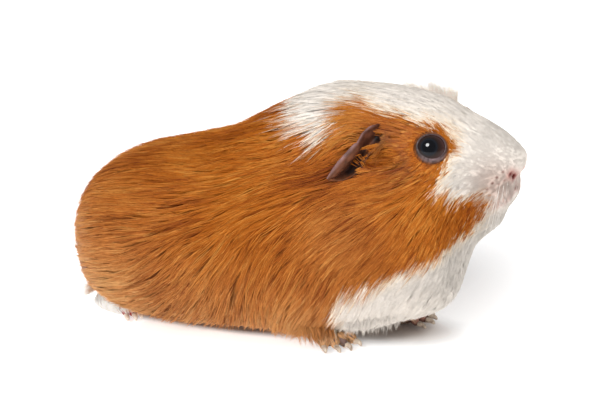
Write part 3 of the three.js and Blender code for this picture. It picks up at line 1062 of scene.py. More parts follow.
@dataclass
class Eye:
    """One eye: a wet ball in a ring of lids. In millimetres, in a frame whose Z is where the eye looks."""

    side: str
    looks: Spot = (0.403, 0.789, 0.459)
    shift: Spot = (0.6, 0, 0.65)
    lids: tuple[tuple[float, float], ...] = (
        (5.10, 2.75), (5.16, 3.15), (5.32, 3.38), (5.6, 3.46), (5.9, 3.36), (6.2, 3.06), (6.4, 2.6),
        (6.7, 1.9), (7.2, 1.0), (7.8, 0.2),
    )  # fmt: skip
    socket: tuple[tuple[float, ...], tuple[float, ...]] = (
        (0, 5.9, 6.25, 6.8, 7.6, 8.6), (0.5, 0.5, 2.8, 2.85, 2.5, 1.9),
    )  # fmt: skip
    over_ball: float = 3.0  # how high the form lies over the ball
    short: float = 0.4  # the depth of the hair beside the lids
    settles: tuple[float, float] = (6.7, 2.4)  # from where, and over what length, the skin is left as it was
    wide: float = 1.02
    high: float = 0.93
    sag: float = 0.05  # how much lower the lower lid hangs
    open: tuple[float, float] = (0.94, 0.80)  # how wide and high the lids are open, against their outer edge
    opens: tuple[float, float] = (5.3, 0.9)  # from where, and over what length, that share goes back to 1
    raised: float = 0.4  # how far the opening is above the middle
    follow: float = 0.6  # how closely the lids follow the ball
    follows: tuple[float, float] = (6.9, 0.8)  # up to where they follow it, and over what length that ends
    gaze: float = 0.24  # how far back the pupil is turned
    seen: float = 60.0  # degrees from the pupil's middle to the end of the eye's colours
    steps: int = 64
    stops: tuple[float, ...] = (5.1, 5.25, 5.5, 5.75, 5.95, 6.15, 6.45)
    codes: tuple[str, ...] = ("0A0606", "2E2020", "7E6A6C", "463432", "64504E", "4E3020", "8E4E1C")
    mottle: Swell = field(default_factory=lambda: Swell(2.2 * MM, SEED + 6))

    def __post_init__(self) -> None:
        """Reads where the ball is from its solid."""
        low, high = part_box(f"eye_{self.side}")
        mirror = np.array((1, SIDES[self.side], 1))
        self.middle = np.array((low + high) / 2) * mirror + np.array(self.shift) * MM
        self.middle = self.middle * mirror
        self.radius = (high - low)[0] / 2
        out = Vector(np.array(self.looks) * mirror).normalized()
        over = (Vector((0, 0, 1)) - out * out.z).normalized()
        self.frame = Matrix((over.cross(out), over, out)).transposed()

    def build(self) -> None:
        """Makes the ball and its lids."""
        self.ball()
        self.rim()

    def turned(self) -> Matrix:
        """Turns and moves a shape made round +Z to where the eye is, with its +Y up."""
        return Matrix.Translation(Vector(self.middle)) @ self.frame.to_4x4()

    def settled(self, places: Array, sunk: bool) -> Array:
        """Brings a skin round the eye to the height of the lids.

        Args:
            places: the skin's corners.
            sunk: whether the skin goes in under the ball, and not over it.

        Returns:
            The corners' new places.
        """
        turn = np.array(self.frame)
        local = (places - self.middle) @ turn / MM
        across = np.hypot(local[:, 0] / self.wide, local[:, 1] / self.high)
        far, height = self.socket
        under = np.array(height) - self.short * (np.array(far) > 6)
        goal = np.interp(across, far, under if sunk else (self.over_ball, self.over_ball, *height[2:]))
        start, length = self.settles
        held = (1 - smooth((across - start) / length)) * (local[:, 2] > -1)
        local[:, 2] += (goal - local[:, 2]) * held
        return np.where(held[:, None] > 0, local * MM @ turn.T + self.middle, places)

    def height_of(self, across: float) -> float:
        """How high the ball's surface is over its middle at a distance from its axis, in millimetres."""
        return math.sqrt(max((self.radius / MM) ** 2 - across**2, 1.0))

    def ball(self) -> None:
        """Makes the ball."""
        shape = bmesh.new()
        bmesh.ops.create_uvsphere(shape, u_segments=64, v_segments=48, radius=self.radius)
        pupil = Vector((self.gaze * SIDES[self.side], 0, 1))
        tilt = np.array([corner.co.angle(pupil) for corner in shape.verts])
        bmesh.ops.transform(shape, matrix=self.turned(), verts=shape.verts)
        mesh = mesh_of(f"eyeball_{self.side}", shape)
        layer = mesh.attributes.new(FROM_PUPIL, "FLOAT", "POINT")
        layer.data.foreach_set("value", np.clip(tilt / math.radians(self.seen), 0, 1).astype(np.float32))
        finish(object_of(mesh.name, mesh), WetEye().material(), "eye", f"eye_{self.side}")

    def opened(self, place: Vector) -> tuple[Vector, Spot]:
        """Brings one corner of the round ring of lids to the shape of the open lids.

        Args:
            place: where it is, in metres.

        Returns:
            Its new place, and how far out it is, how far below the ball and how far behind it.
        """
        x, y, z = place
        r, turn = math.hypot(x, y) / MM, math.atan2(y, x)
        below = max(-math.sin(turn), 0)
        behind = max(x * SIDES[self.side] / MM / r, 0)
        start, length = self.opens
        outer = min(max((r - start) / length, 0), 1)
        x *= self.open[0] + (self.wide - self.open[0]) * outer
        y *= self.open[1] + (self.high + self.sag * below - self.open[1]) * outer
        y += self.raised * MM * (1 - outer)
        ride = self.follow * (self.height_of(math.hypot(x, y) / MM) - self.height_of(r))
        end, length = self.follows
        z += ride * MM * min(max((end - r) / length, 0), 1) - 0.05 * MM
        return Vector((x, y, z)), (r, below, behind)

    def rim(self) -> None:
        """Makes both lids as one ring, spun from its profile, thicker below and drawn out at the corners."""
        shape = bmesh.new()
        line = [shape.verts.new((r * MM, 0, h * MM)) for r, h in self.lids]
        edges = [shape.edges.new(pair) for pair in zip(line, line[1:])]
        bmesh.ops.spin(
            shape, geom=line + edges, cent=(0, 0, 0), axis=(0, 0, 1), dvec=(0, 0, 0), angle=2 * math.pi,
            steps=self.steps, use_merge=True, use_duplicate=False,
        )  # fmt: skip
        bmesh.ops.remove_doubles(shape, verts=shape.verts, dist=0.01 * MM)
        bmesh.ops.recalc_face_normals(shape, faces=shape.faces)
        if sum(face.normal.z for face in shape.faces) < 0:
            bmesh.ops.reverse_faces(shape, faces=shape.faces)
        around = []
        for corner in shape.verts:
            corner.co, found = self.opened(corner.co)
            around.append(found)
        bmesh.ops.transform(shape, matrix=self.turned(), verts=shape.verts)
        mesh = mesh_of(f"lids_{self.side}", shape)
        paint(mesh, self.lid_colours(np.array(around)))
        lids = object_of(mesh.name, mesh)
        soft = lids.modifiers.new("soft", "SUBSURF")
        soft.levels = soft.render_levels = 1
        skin = BareSkin("eyelid_skin", roughness=0.45, crease=0.35 * MM, shine=0.15)
        finish(lids, skin.material(), "ear_skin")

    def lid_colours(self, around: Array) -> Array:
        """The lids' colours: nearly black at the margin, mauve grey outside it, brown under the hair.

        Args:
            around: for each corner how far out it is, how far below the ball and how far behind it.

        Returns:
            A linear colour for each.
        """
        r, below, behind = around.T
        shades = np.array([rgb(code) for code in self.codes])
        shown = r + 0.35 * (1 - below) * smooth((r - 5.2) / 0.5)
        colours = np.stack([np.interp(shown, self.stops, shades[:, k]) for k in range(3)], axis=1)
        spotted = 1 + 0.6 * self.mottle.at(around * (4, 18, 18) * MM)
        # lighter on the lower lid, and darker towards the back of the eye, a painted shade
        return colours * ((0.8 + 0.3 * below - 0.35 * behind) * spotted)[:, None]


@dataclass
class Ear:
    """One ear: a thin drooping petal in two lobes, which opens outwards. Sizes in millimetres.

    The free rim and the root edge are lines from the ear's base to its tip, and it is cupped between them.
    """

    side: str
    rim: tuple[Spot, ...] = (
        (42.0, 20.8, 91.6), (40.0, 20.4, 92.2), (37.4, 21.3, 91.2), (35.2, 23.2, 88.9), (34.2, 25.2, 85.9),
        (32.6, 26.2, 84.3), (30.4, 27.6, 81.4), (28.2, 29.1, 78.7), (26.1, 30.5, 75.1), (24.7, 31.4, 72.3),
    )  # fmt: skip
    root: tuple[Spot, ...] = (
        (42.6, 21.4, 90.8), (44.0, 22.6, 88.7), (43.6, 24.2, 86.4), (42.2, 24.9, 84.4), (39.8, 24.8, 82.6),
        (38.8, 26.4, 80.2), (37.8, 28.9, 77.6), (35.2, 30.4, 74.2), (31.0, 31.3, 72.0), (25.2, 31.6, 71.8),
    )  # fmt: skip
    out: Spot = (0.34, 0.90, 0.26)
    crosses: tuple[float, ...] = (-1.0, -0.75, -0.5, -0.25, 0.0, 0.18, 0.36, 0.7, 0.86, 0.95, 1.0)
    cup: tuple[float, ...] = (-1.6, -2.6, -3.3, -3.5, -2.8, -1.9, -1.0, 0.8, 2.0, 2.7, 2.6)
    flap: tuple[float, ...] = (-1.6, -2.6, -3.3, -3.7, -3.4, -1.4, 1.5, 2.5, 2.9, 3.0, 2.6)
    thick: float = 0.9
    tucked: float = 3.5  # how far its base goes in under the coat
    lowest: float = 0.12  # the share of the cup's height that is left at base and tip
    under: float = 0.22  # how far hair grows in under the rim, as a share of the way to the root edge
    grid: tuple[int, int] = (44, 26)
    edge: str = "7C5C58"
    lobe: str = "603824"
    inner: str = "5C3424"
    # the nearly black of the ear's two hollows, a painted shadow
    hollow: str = "1C0C08"
    hairy: str = "6A3A1A"  # where it goes over into the coat
    hollows: tuple[tuple[float, float, float, float], ...] = (
        (0.17, 0.14, -0.45, 0.7),
        (0.69, 0.19, -0.45, 0.55),
    )  # where each hollow with its painted shadow lies along the ear and across it, each with its reach
    mottle: Swell = field(default_factory=lambda: Swell(2.5 * MM, SEED + 5))

    def cover(self, places: Array) -> Array:
        """How far places are inside the ear's outline, seen the way that it opens.

        Args:
            places: the places.

        Returns:
            A distance for each in metres, negative outside the outline.
        """
        mirror = np.array((1, SIDES[self.side], 1))
        out = unit(np.array(self.out) * mirror)
        over = unit(np.array((0, 0, 1)) - out * out[2])
        plane = np.stack([np.cross(over, out), over], axis=1)
        rim, root = np.array(self.rim), np.array(self.root)
        outline = np.concatenate([rim + (root - rim) * self.under, root[::-1]]) * mirror * MM
        inside = within(places @ plane, outline @ plane)
        return np.where(places[:, 1] * SIDES[self.side] > 0, inside, -1.0)

    def folded(self, s: Array) -> Array:
        """How far the ear is in its lower lobe, which folds over the cup."""
        return smooth((s - 0.44) / 0.07)

    def at(self, s: Array, t: Array) -> Array:
        """Places on the ear.

        Args:
            s: how far along the ear they are, from its base, 0, to its tip, 1.
            t: how far across it, from its root edge, -1, to its free rim, 1.

        Returns:
            The places, in metres.
        """
        stops = np.linspace(0, 1, len(self.rim))
        rim, root = (
            np.stack([np.interp(s, stops, np.array(line)[:, k]) for k in range(3)], axis=1)
            for line in (self.rim, self.root)
        )
        fold = self.folded(s)
        cup, flap = (np.interp(t, self.crosses, heights) for heights in (self.cup, self.flap))
        ends = smooth(s / 0.16) * smooth((1 - s) / 0.22)
        rise = (cup * (1 - fold) + flap * fold) * (self.lowest + (1 - self.lowest) * ends)
        rise = rise - self.tucked * (1 - smooth(s / 0.14))
        places = root + (rim - root) * ((t + 1) / 2)[:, None] + unit(np.array(self.out)) * rise[:, None]
        return places * (1, SIDES[self.side], 1) * MM

    def build(self) -> None:
        """Makes the ear from a bent grid with a thickness."""
        shape = bmesh.new()
        bmesh.ops.create_grid(shape, x_segments=self.grid[0], y_segments=self.grid[1], size=0.5)
        shares = np.array([(corner.co.x + 0.5, corner.co.y * 2) for corner in shape.verts])
        for corner, place in zip(shape.verts, self.at(*shares.T)):
            corner.co = place
        if SIDES[self.side] > 0:
            bmesh.ops.reverse_faces(shape, faces=shape.faces)
        mesh = mesh_of(f"ear_petal_{self.side}", shape)
        paint(mesh, self.colours(shares) * (1 + 0.3 * self.mottle.at(places_of(mesh)))[:, None])
        ear = object_of(mesh.name, mesh)
        even = ear.modifiers.new("even", "SMOOTH")
        even.factor, even.iterations = 0.5, 2
        wall = ear.modifiers.new("wall", "SOLIDIFY")
        wall.thickness, wall.offset = self.thick * MM, 0.0
        skin = BareSkin("ear_skin", roughness=0.5, glow=0.1, shine=0.15)
        finish(ear, skin.material(), "ear_skin", f"ear_{self.side}")

    def colours(self, shares: Array) -> Array:
        """The ear's colours: mauve at the rim, brown on the lobe, and a nearly black painted shadow in its two
        hollows.

        Args:
            shares: how far along and across the ear each place is.

        Returns:
            A linear colour for each.
        """
        s, t = shares.T
        fold = self.folded(s)
        face = mixed(rgb(self.inner), self.lobe, fold * smooth((t - 0.1) / 0.3))
        face = mixed(face, self.edge, smooth((t - 0.66 - 0.1 * (1 - fold)) / 0.3) * smooth((s - 0.1) / 0.15))
        coat = np.maximum(1 - smooth((s - 0.03) / 0.08), 1 - smooth((t + 0.95 - 0.25 * fold) / 0.3))
        face = mixed(face, self.hairy, 0.8 * coat)
        # painted shadow in the two hollows
        dark = [bell(np.hypot((s - a) / long, (t - b) / wide), 1.0) for a, long, b, wide in self.hollows]
        return mixed(face, self.hollow, np.clip(1.7 * np.max(dark, axis=0) - 0.15, 0, 1))


# ---------------- the coat


class Cut(Enum):
    """Where the rings of corners come along a hair."""

    BENT = (0.0, 0.5, 1.0)
    STRAIGHT = (0.0, 1.0)


@dataclass
class Tufts:
    """Closed three-sided hairs in tufts, as arrays."""

    corners: Array
    triangles: Array
    normals: Array
    colours: Array
    unwrap: Array

    def piece(self, name: str) -> Object:
        """Makes one piece of the coat from its arrays.

        Args:
            name: of the piece.

        Returns:
            The piece.
        """
        mesh = bpy.data.meshes.new(name)
        mesh.vertices.add(len(self.corners))
        mesh.vertices.foreach_set("co", self.corners.ravel())
        mesh.loops.add(self.triangles.size)
        mesh.loops.foreach_set("vertex_index", self.triangles.ravel().astype(np.int32))
        mesh.polygons.add(len(self.triangles))
        mesh.polygons.foreach_set("loop_start", np.arange(0, self.triangles.size, 3, dtype=np.int32))
        mesh.update(calc_edges=True)
        mesh.shade_smooth()
        mesh.normals_split_custom_set_from_vertices(self.normals.astype(np.float32))
        paint(mesh, self.colours)
        layer = mesh.uv_layers.new(name=UNWRAP)
        layer.data.foreach_set("uv", self.unwrap[self.triangles.ravel()].ravel().astype(np.float32))
        return object_of(name, mesh)


def joined(parts: Sequence[Tufts]) -> Tufts:
    """Some tufts' arrays as one.

    Args:
        parts: the tufts.

    Returns:
        All of them together.
    """
    start = np.cumsum([0] + [len(part.corners) for part in parts])
    return Tufts(
        np.concatenate([part.corners for part in parts]),
        np.concatenate([part.triangles + first for part, first in zip(parts, start)]),
        np.concatenate([part.normals for part in parts]),
        np.concatenate([part.colours for part in parts]),
        np.concatenate([part.unwrap for part in parts]),
    )


def hair_triangles(total: int, rings: int) -> Array:
    """The triangles of closed three-sided hairs.

    Args:
        total: how many hairs.
        rings: the rings of corners of each, its tip among them.

    Returns:
        Three corner numbers for each triangle.
    """
    one = [(0, 2, 1)]
    for ring in range(rings - 2):
        for k in range(3):
            a, b = 3 * ring + k, 3 * ring + (k + 1) % 3
            one += [(a, b, b + 3), (a, b + 3, a + 3)]
    tip = 3 * (rings - 1)
    one += [(tip - 3 + k, tip - 3 + (k + 1) % 3, tip) for k in range(3)]
    return (np.array(one)[None] + np.arange(total)[:, None, None] * (tip + 1)).reshape(-1, 3)


def tuft_unwrap(roots: Array, rings: int, hairs: int) -> Array:
    """Where each corner comes on the unwrap: each tuft is a small patch at its root's place.

    Args:
        roots: the root of each tuft.
        rings: the rings of corners of each hair, its tip among them.
        hairs: how many hairs a tuft has.

    Returns:
        Two values from 0 to 1 for each corner.
    """
    across = (np.arange(hairs) + 0.5) / hairs - 0.5
    along = np.concatenate([np.repeat(np.arange(rings - 1), 3), [rings - 1]]) / (rings - 1) - 0.5
    slip = np.concatenate([np.tile((-0.3, 0.0, 0.3), rings - 1), [0.0]]) / hairs
    across, along = across[:, None] + slip[None], along[None] * np.ones((hairs, 1))
    offset = np.stack(np.broadcast_arrays(across, along), axis=-1)
    return (unwrapped(roots)[:, None, None] + TUFT_PATCH * offset[None]).reshape(-1, 2)


def tufts_along(
    line: Array, across: Array, outs: Array, wide: Array, draw: Draw,
    even: Array | float = 0.7, lit: Array | None = None,
) -> tuple[Array, Array, Array]:  # fmt: skip
    """Closed hairs round their middle lines.

    Args:
        line: the places along each hair, by tuft, hair and ring.
        across: the way across the hairs of each tuft, by ring.
        outs: the outward way of each tuft, by ring.
        wide: the half width of each hair, by tuft, hair and ring but the tip.
        draw: the random draw.
        even: how far the hairs are shaded as one surface, and not each as a round hair, from 0 to 1.
        lit: the way that this one surface faces, where it isn't outward.

    Returns:
        The corners, the triangles and the directions that the corners are shaded for.
    """
    count, hairs, rings = line.shape[:3]
    turn = draw.normal(math.pi / 2, 0.25, (count, hairs, 1, 1)) + np.arange(3) * (2 * math.pi / 3)
    cos, sin = np.cos(turn)[..., None], np.sin(turn)[..., None]
    across, out = across[:, None, :-1, None], outs[:, None, :-1, None]
    ring = (across * cos + 0.5 * out * sin) * wide[..., None, None] + line[:, :, :-1, None]
    lit = outs if lit is None else np.broadcast_to(lit, outs.shape)
    facing = unit((1 - even) * (across * cos + out * sin) + even * lit[:, None, :-1, None])
    total = count * hairs
    ends = np.broadcast_to(lit[:, None, -1:], (count, hairs, 1, 3)).reshape(total, 1, 3)
    tips = line[:, :, -1].reshape(total, 1, 3)
    corners = np.concatenate([ring.reshape(total, -1, 3), tips], axis=1)
    normals = np.concatenate([facing.reshape(total, -1, 3), ends], axis=1)
    return corners.reshape(-1, 3), hair_triangles(total, rings), normals.reshape(-1, 3)


@dataclass
class Patch:
    """A stretch of the coat from one station of X to another, in millimetres."""

    name: str
    start: float
    stop: float
    tufts: int
    hairs: int = 8
    cut: Cut = Cut.BENT
    spread: float = 1.05  # how far a tuft's roots spread to either side, in millimetres
    gather: float = 0.6  # how much of that spread is gone at the tips


@dataclass
class Coat:
    """The coat: tufts of thin closed hairs over the hide, which lie back to the surface of the form."""

    form: Form
    lie: Lie
    markings: Markings
    depth: Depth
    muzzle: Muzzle
    patches: tuple[Patch, ...] = (
        Patch("rump", -95, -62, 1050),
        Patch("loin", -62, -30, 1050),
        Patch("ribs", -30, 2, 1050),
        Patch("shoulders", 2, 32, 1090),
        Patch("neck", 32, 48, 900, 9, Cut.BENT, 0.9),
        Patch("cheeks", 48, 64, 1200, 9, Cut.BENT, 0.8),
        Patch("brow", 64, 78, 1200, 9, Cut.BENT, 0.7),
        Patch("muzzle", 78, 95, 1600, 8, Cut.STRAIGHT, 0.5),
    )
    belly_share: float = 0.3  # how thick the hair grows under the belly, against elsewhere
    clear: float = 6.2 * MM  # how far its roots stay from the middle of an eye
    under: float = 0.45 * MM  # how far the flat hair stays inside the form
    rooted: float = -1.25  # how deep the roots go, in depths of the coat
    above_floor: float = 0.6 * MM
    stray: float = 3.5  # degrees that a tuft strays from the lie
    ears: tuple[float, float] = (25, 60)  # between these stations hair may cross an ear's opening
    reach: tuple[float, float] = (0.1 * MM, 0.7 * MM)  # how far the hair reaches over an ear's opening
    bridge: Spot = (40.0, 25.5, 83.0)  # where it reaches further, between the ear's two hollows
    bridged: tuple[float, float] = (1.3 * MM, 2.4 * MM)  # how much further, and how far round that place
    lift_stations: tuple[float, ...] = (-90, -60, 20, 50)
    lifts: tuple[float, ...] = (0.5, 0.8, 0.9, 0.35)  # how much the hairs differ in how far they stand off
    white_lies: float = 0.75  # how much less they do in the white
    even: tuple[float, float] = (0.68, 0.95)  # how far ginger and white are each shaded as one surface
    root_dark: float = 0.62  # how much darker ginger hair is at its root, a painted shade among the hairs

    def weight(self, patch: Patch, side: float) -> Array:
        """How thick the hair of a patch grows.

        Args:
            patch: the patch.
            side: the side of the animal.

        Returns:
            A share for each triangle of the form.
        """
        form, middles = self.form, self.form.middles
        along = (middles[:, 0] > patch.start * MM) & (middles[:, 0] <= patch.stop * MM)
        underneath = form.facings[form.corners[:, 0], 2] < -0.8
        weight = (along & (middles[:, 1] * side > 0)) * np.where(underneath, self.belly_share, 1.0)
        for eye in form.eyes:
            far = np.linalg.norm(middles - eye, axis=1)
            weight = weight * (far > self.clear) * (1 + 1.5 * bell(far - 7 * MM, 2.5 * MM))
        weight *= self.open(middles, side) < 0
        return weight * (1 - self.muzzle.bare(middles))

    def open(self, places: Array, side: float) -> Array:
        """How far places are inside the opening of an ear, where no hair lies, in metres."""
        return Ear("left" if side > 0 else "right").cover(places)

    def paths(self, places: Array, facings: Array, long: Array, cut: Cut, own: Array) -> tuple[Array, ...]:
        """Follows the lie of the hair over the form from each tuft's root.

        Args:
            places: where the tufts stand.
            facings: the outward directions there.
            long: the length of each tuft.
            cut: where along the hair its corners come.
            own: the angle by which each tuft strays from the lie.

        Returns:
            The places, outward directions and ways of the hair, for each corner of each tuft.
        """
        spots, outs, ways = [places], [facings], []
        for share in np.diff(cut.value):
            way = self.lie.at(spots[-1], outs[-1], self.form.eyes)
            across = np.cross(outs[-1], way)
            way = way * np.cos(own)[:, None] + across * np.sin(own)[:, None]
            ways.append(way)
            spot, out = self.form.nearest(spots[-1] + way * (long * share)[:, None])
            spots.append(spot)
            outs.append(out)
        ways.append(ways[-1])
        return tuple(np.stack(values, axis=1) for values in (spots, outs, ways))

    def grown(self, patch: Patch, side: float, draw: Draw) -> tuple[Array, ...]:
        """Where the tufts of one patch grow and lie.

        Args:
            patch: the patch.
            side: the side of the animal.
            draw: the random draw.

        Returns:
            The roots and lengths, and the places, outward directions and ways along each tuft.
        """
        roots, facings = self.form.spots(patch.tufts, self.weight(patch, side), draw)
        if patch.cut is Cut.STRAIGHT:
            ahead = self.lie.at(roots, facings, self.form.eyes) * self.depth.long(roots)[:, None]
            over = [self.muzzle.near_root(roots + ahead * share) for share in (0, 0.35, 0.7, 1)]
            kept = ~np.any(over, axis=0)
            roots, facings = roots[kept], facings[kept]
        long = self.depth.long(roots) * draw.normal(1, 0.14, len(roots)).clip(0.6, 1.4)
        own = math.radians(self.stray) * draw.normal(size=len(roots))
        spots, outs, ways = self.paths(roots, facings, long, patch.cut, own)
        further, near = self.bridged
        away = np.linalg.norm(spots[:, 1:] - np.array(self.bridge) * (1, side, 1) * MM, axis=2).min(axis=1)
        reach = draw.uniform(*self.reach, len(roots)) + bell(away, near) * further
        for _ in range(6 if patch.start < self.ears[1] and patch.stop > self.ears[0] else 0):
            reached = [self.open(spots[:, k], side) for k in range(1, len(patch.cut.value))]
            over = np.max(reached, axis=0) > reach
            long[over] *= 0.75
            again = self.paths(roots[over], facings[over], long[over], patch.cut, own[over])
            spots[over], outs[over], ways[over] = again
        turned = (outs[:, 1:] * outs[:, :-1]).sum(axis=2).min(axis=1)
        held = turned > 0.5  # not bent sharply between two limbs
        return tuple(values[held] for values in (roots, long, spots, outs, ways))

    def tufts(self, patch: Patch, side: float, seed: int) -> Tufts:
        """The hairs of one patch on one side.

        Args:
            patch: the patch.
            side: the side of the animal.
            seed: of its random draw.

        Returns:
            The tufts.
        """
        draw = np.random.default_rng(seed)
        roots, long, spots, outs, ways = self.grown(patch, side, draw)
        deep, shares = self.depth.deep(roots), np.array(patch.cut.value)
        count, hairs = len(roots), patch.hairs
        across = unit(np.cross(outs, ways))
        aside = draw.uniform(-1, 1, (count, hairs)) * patch.spread * MM
        shift = draw.uniform(-0.28, 0.28, (count, hairs)) * long[:, None]
        lift = draw.normal(0, 0.12, (count, 1)) + draw.normal(0, 0.07, (count, hairs))
        lift = lift * np.interp(roots[:, :1] / MM, self.lift_stations, self.lifts)
        white = self.markings.whiteness(roots)[:, None]
        lift = lift * (1 - self.white_lies * white)
        height = lift[:, :, None] * shares - (1 - shares) ** 1.8
        height[:, :, 0] = self.rooted
        close = 1 - patch.gather * shares
        sunk = np.minimum(self.under, 0.3 * deep)[:, None, None]
        line = (
            spots[:, None]
            + across[:, None] * (aside[:, :, None] * close)[..., None]
            + ways[:, None] * shift[:, :, None, None]
            + outs[:, None] * (height * deep[:, None, None] - sunk)[..., None]
        )
        line[..., 2] = np.maximum(line[..., 2], self.above_floor)
        wide = self.depth.wide(roots)[:, None, None] * draw.uniform(0.75, 1.25, (count, hairs, 1))
        wide = wide * (1 - 0.2 * shares[:-1]) * (1 + 0.25 * white[..., None])
        least, most = self.even
        even = least + (most - least) * white[..., None, None, None]
        shape = tufts_along(line, across, outs, wide, draw, even)
        return Tufts(*shape, self.colours(spots, shares, hairs, draw), tuft_unwrap(roots, len(shares), hairs))

    def colours(self, spots: Array, shares: Array, hairs: int, draw: Draw) -> Array:
        """The colour of each corner of each hair: darker at the root, a painted shade, and lighter at the tip.

        Args:
            spots: the places along each tuft.
            shares: how far along the hair those are.
            hairs: how many hairs a tuft has.
            draw: the random draw.

        Returns:
            A linear colour for each corner.
        """
        count, rings = spots.shape[:2]
        seen = spots[:, -1:] * 0.75 + spots[:, :1] * 0.25
        where = np.repeat((0.82 * spots + 0.18 * seen)[:, None], hairs, axis=1).reshape(-1, 3)
        stray = draw.normal(0, 0.6 * MM, (count, 1)) + draw.normal(0, 0.6 * MM, (count, hairs))
        tone = draw.normal(0, 0.58, (count, 1)) + draw.normal(0, 0.52, (count, hairs))
        stray, tone = (np.repeat(value.ravel(), rings) for value in (stray, tone))
        base = self.muzzle.tinted(where, self.markings.colour(where, stray, tone), False)
        base = base.reshape(count * hairs, rings, 3)
        # hair is painted darker towards its root, a painted shade among the hairs; white hardly at all
        dark = self.root_dark * (1 - np.clip(base[..., 2:] / 0.6, 0, 0.98))
        base = base * (1.06 - dark * (1 - shares[:, None]) ** 1.5)
        return np.concatenate([np.repeat(base[:, :-1], 3, axis=1), base[:, -1:]], axis=1).reshape(-1, 3)

    def build(self, material: Material) -> None:
        """Makes every patch on both sides.

        Args:
            material: the hair's.
        """
        seed = SEED
        for patch in self.patches:
            for word, side in SIDES.items():
                seed += 1
                piece = self.tufts(patch, side, seed).piece(f"coat_{patch.name}_{word}")
                finish(piece, material, "coat_ginger")


@dataclass
class Wisp:
    """Loose locks that stand out of the coat along a line, in millimetres."""

    start: Spot
    stop: Spot
    reach: Spot  # how far they are scattered round that line
    way: Spot
    long: float
    tufts: int
    hairs: int
    fan: float  # degrees that the tufts stray
    bend: Spot
    wide: float
    sunk: float
    sides: tuple[str, ...] = ("right", "left")
    down: bool = False  # whether it is fine down, lightened and glowing as painted light from behind it
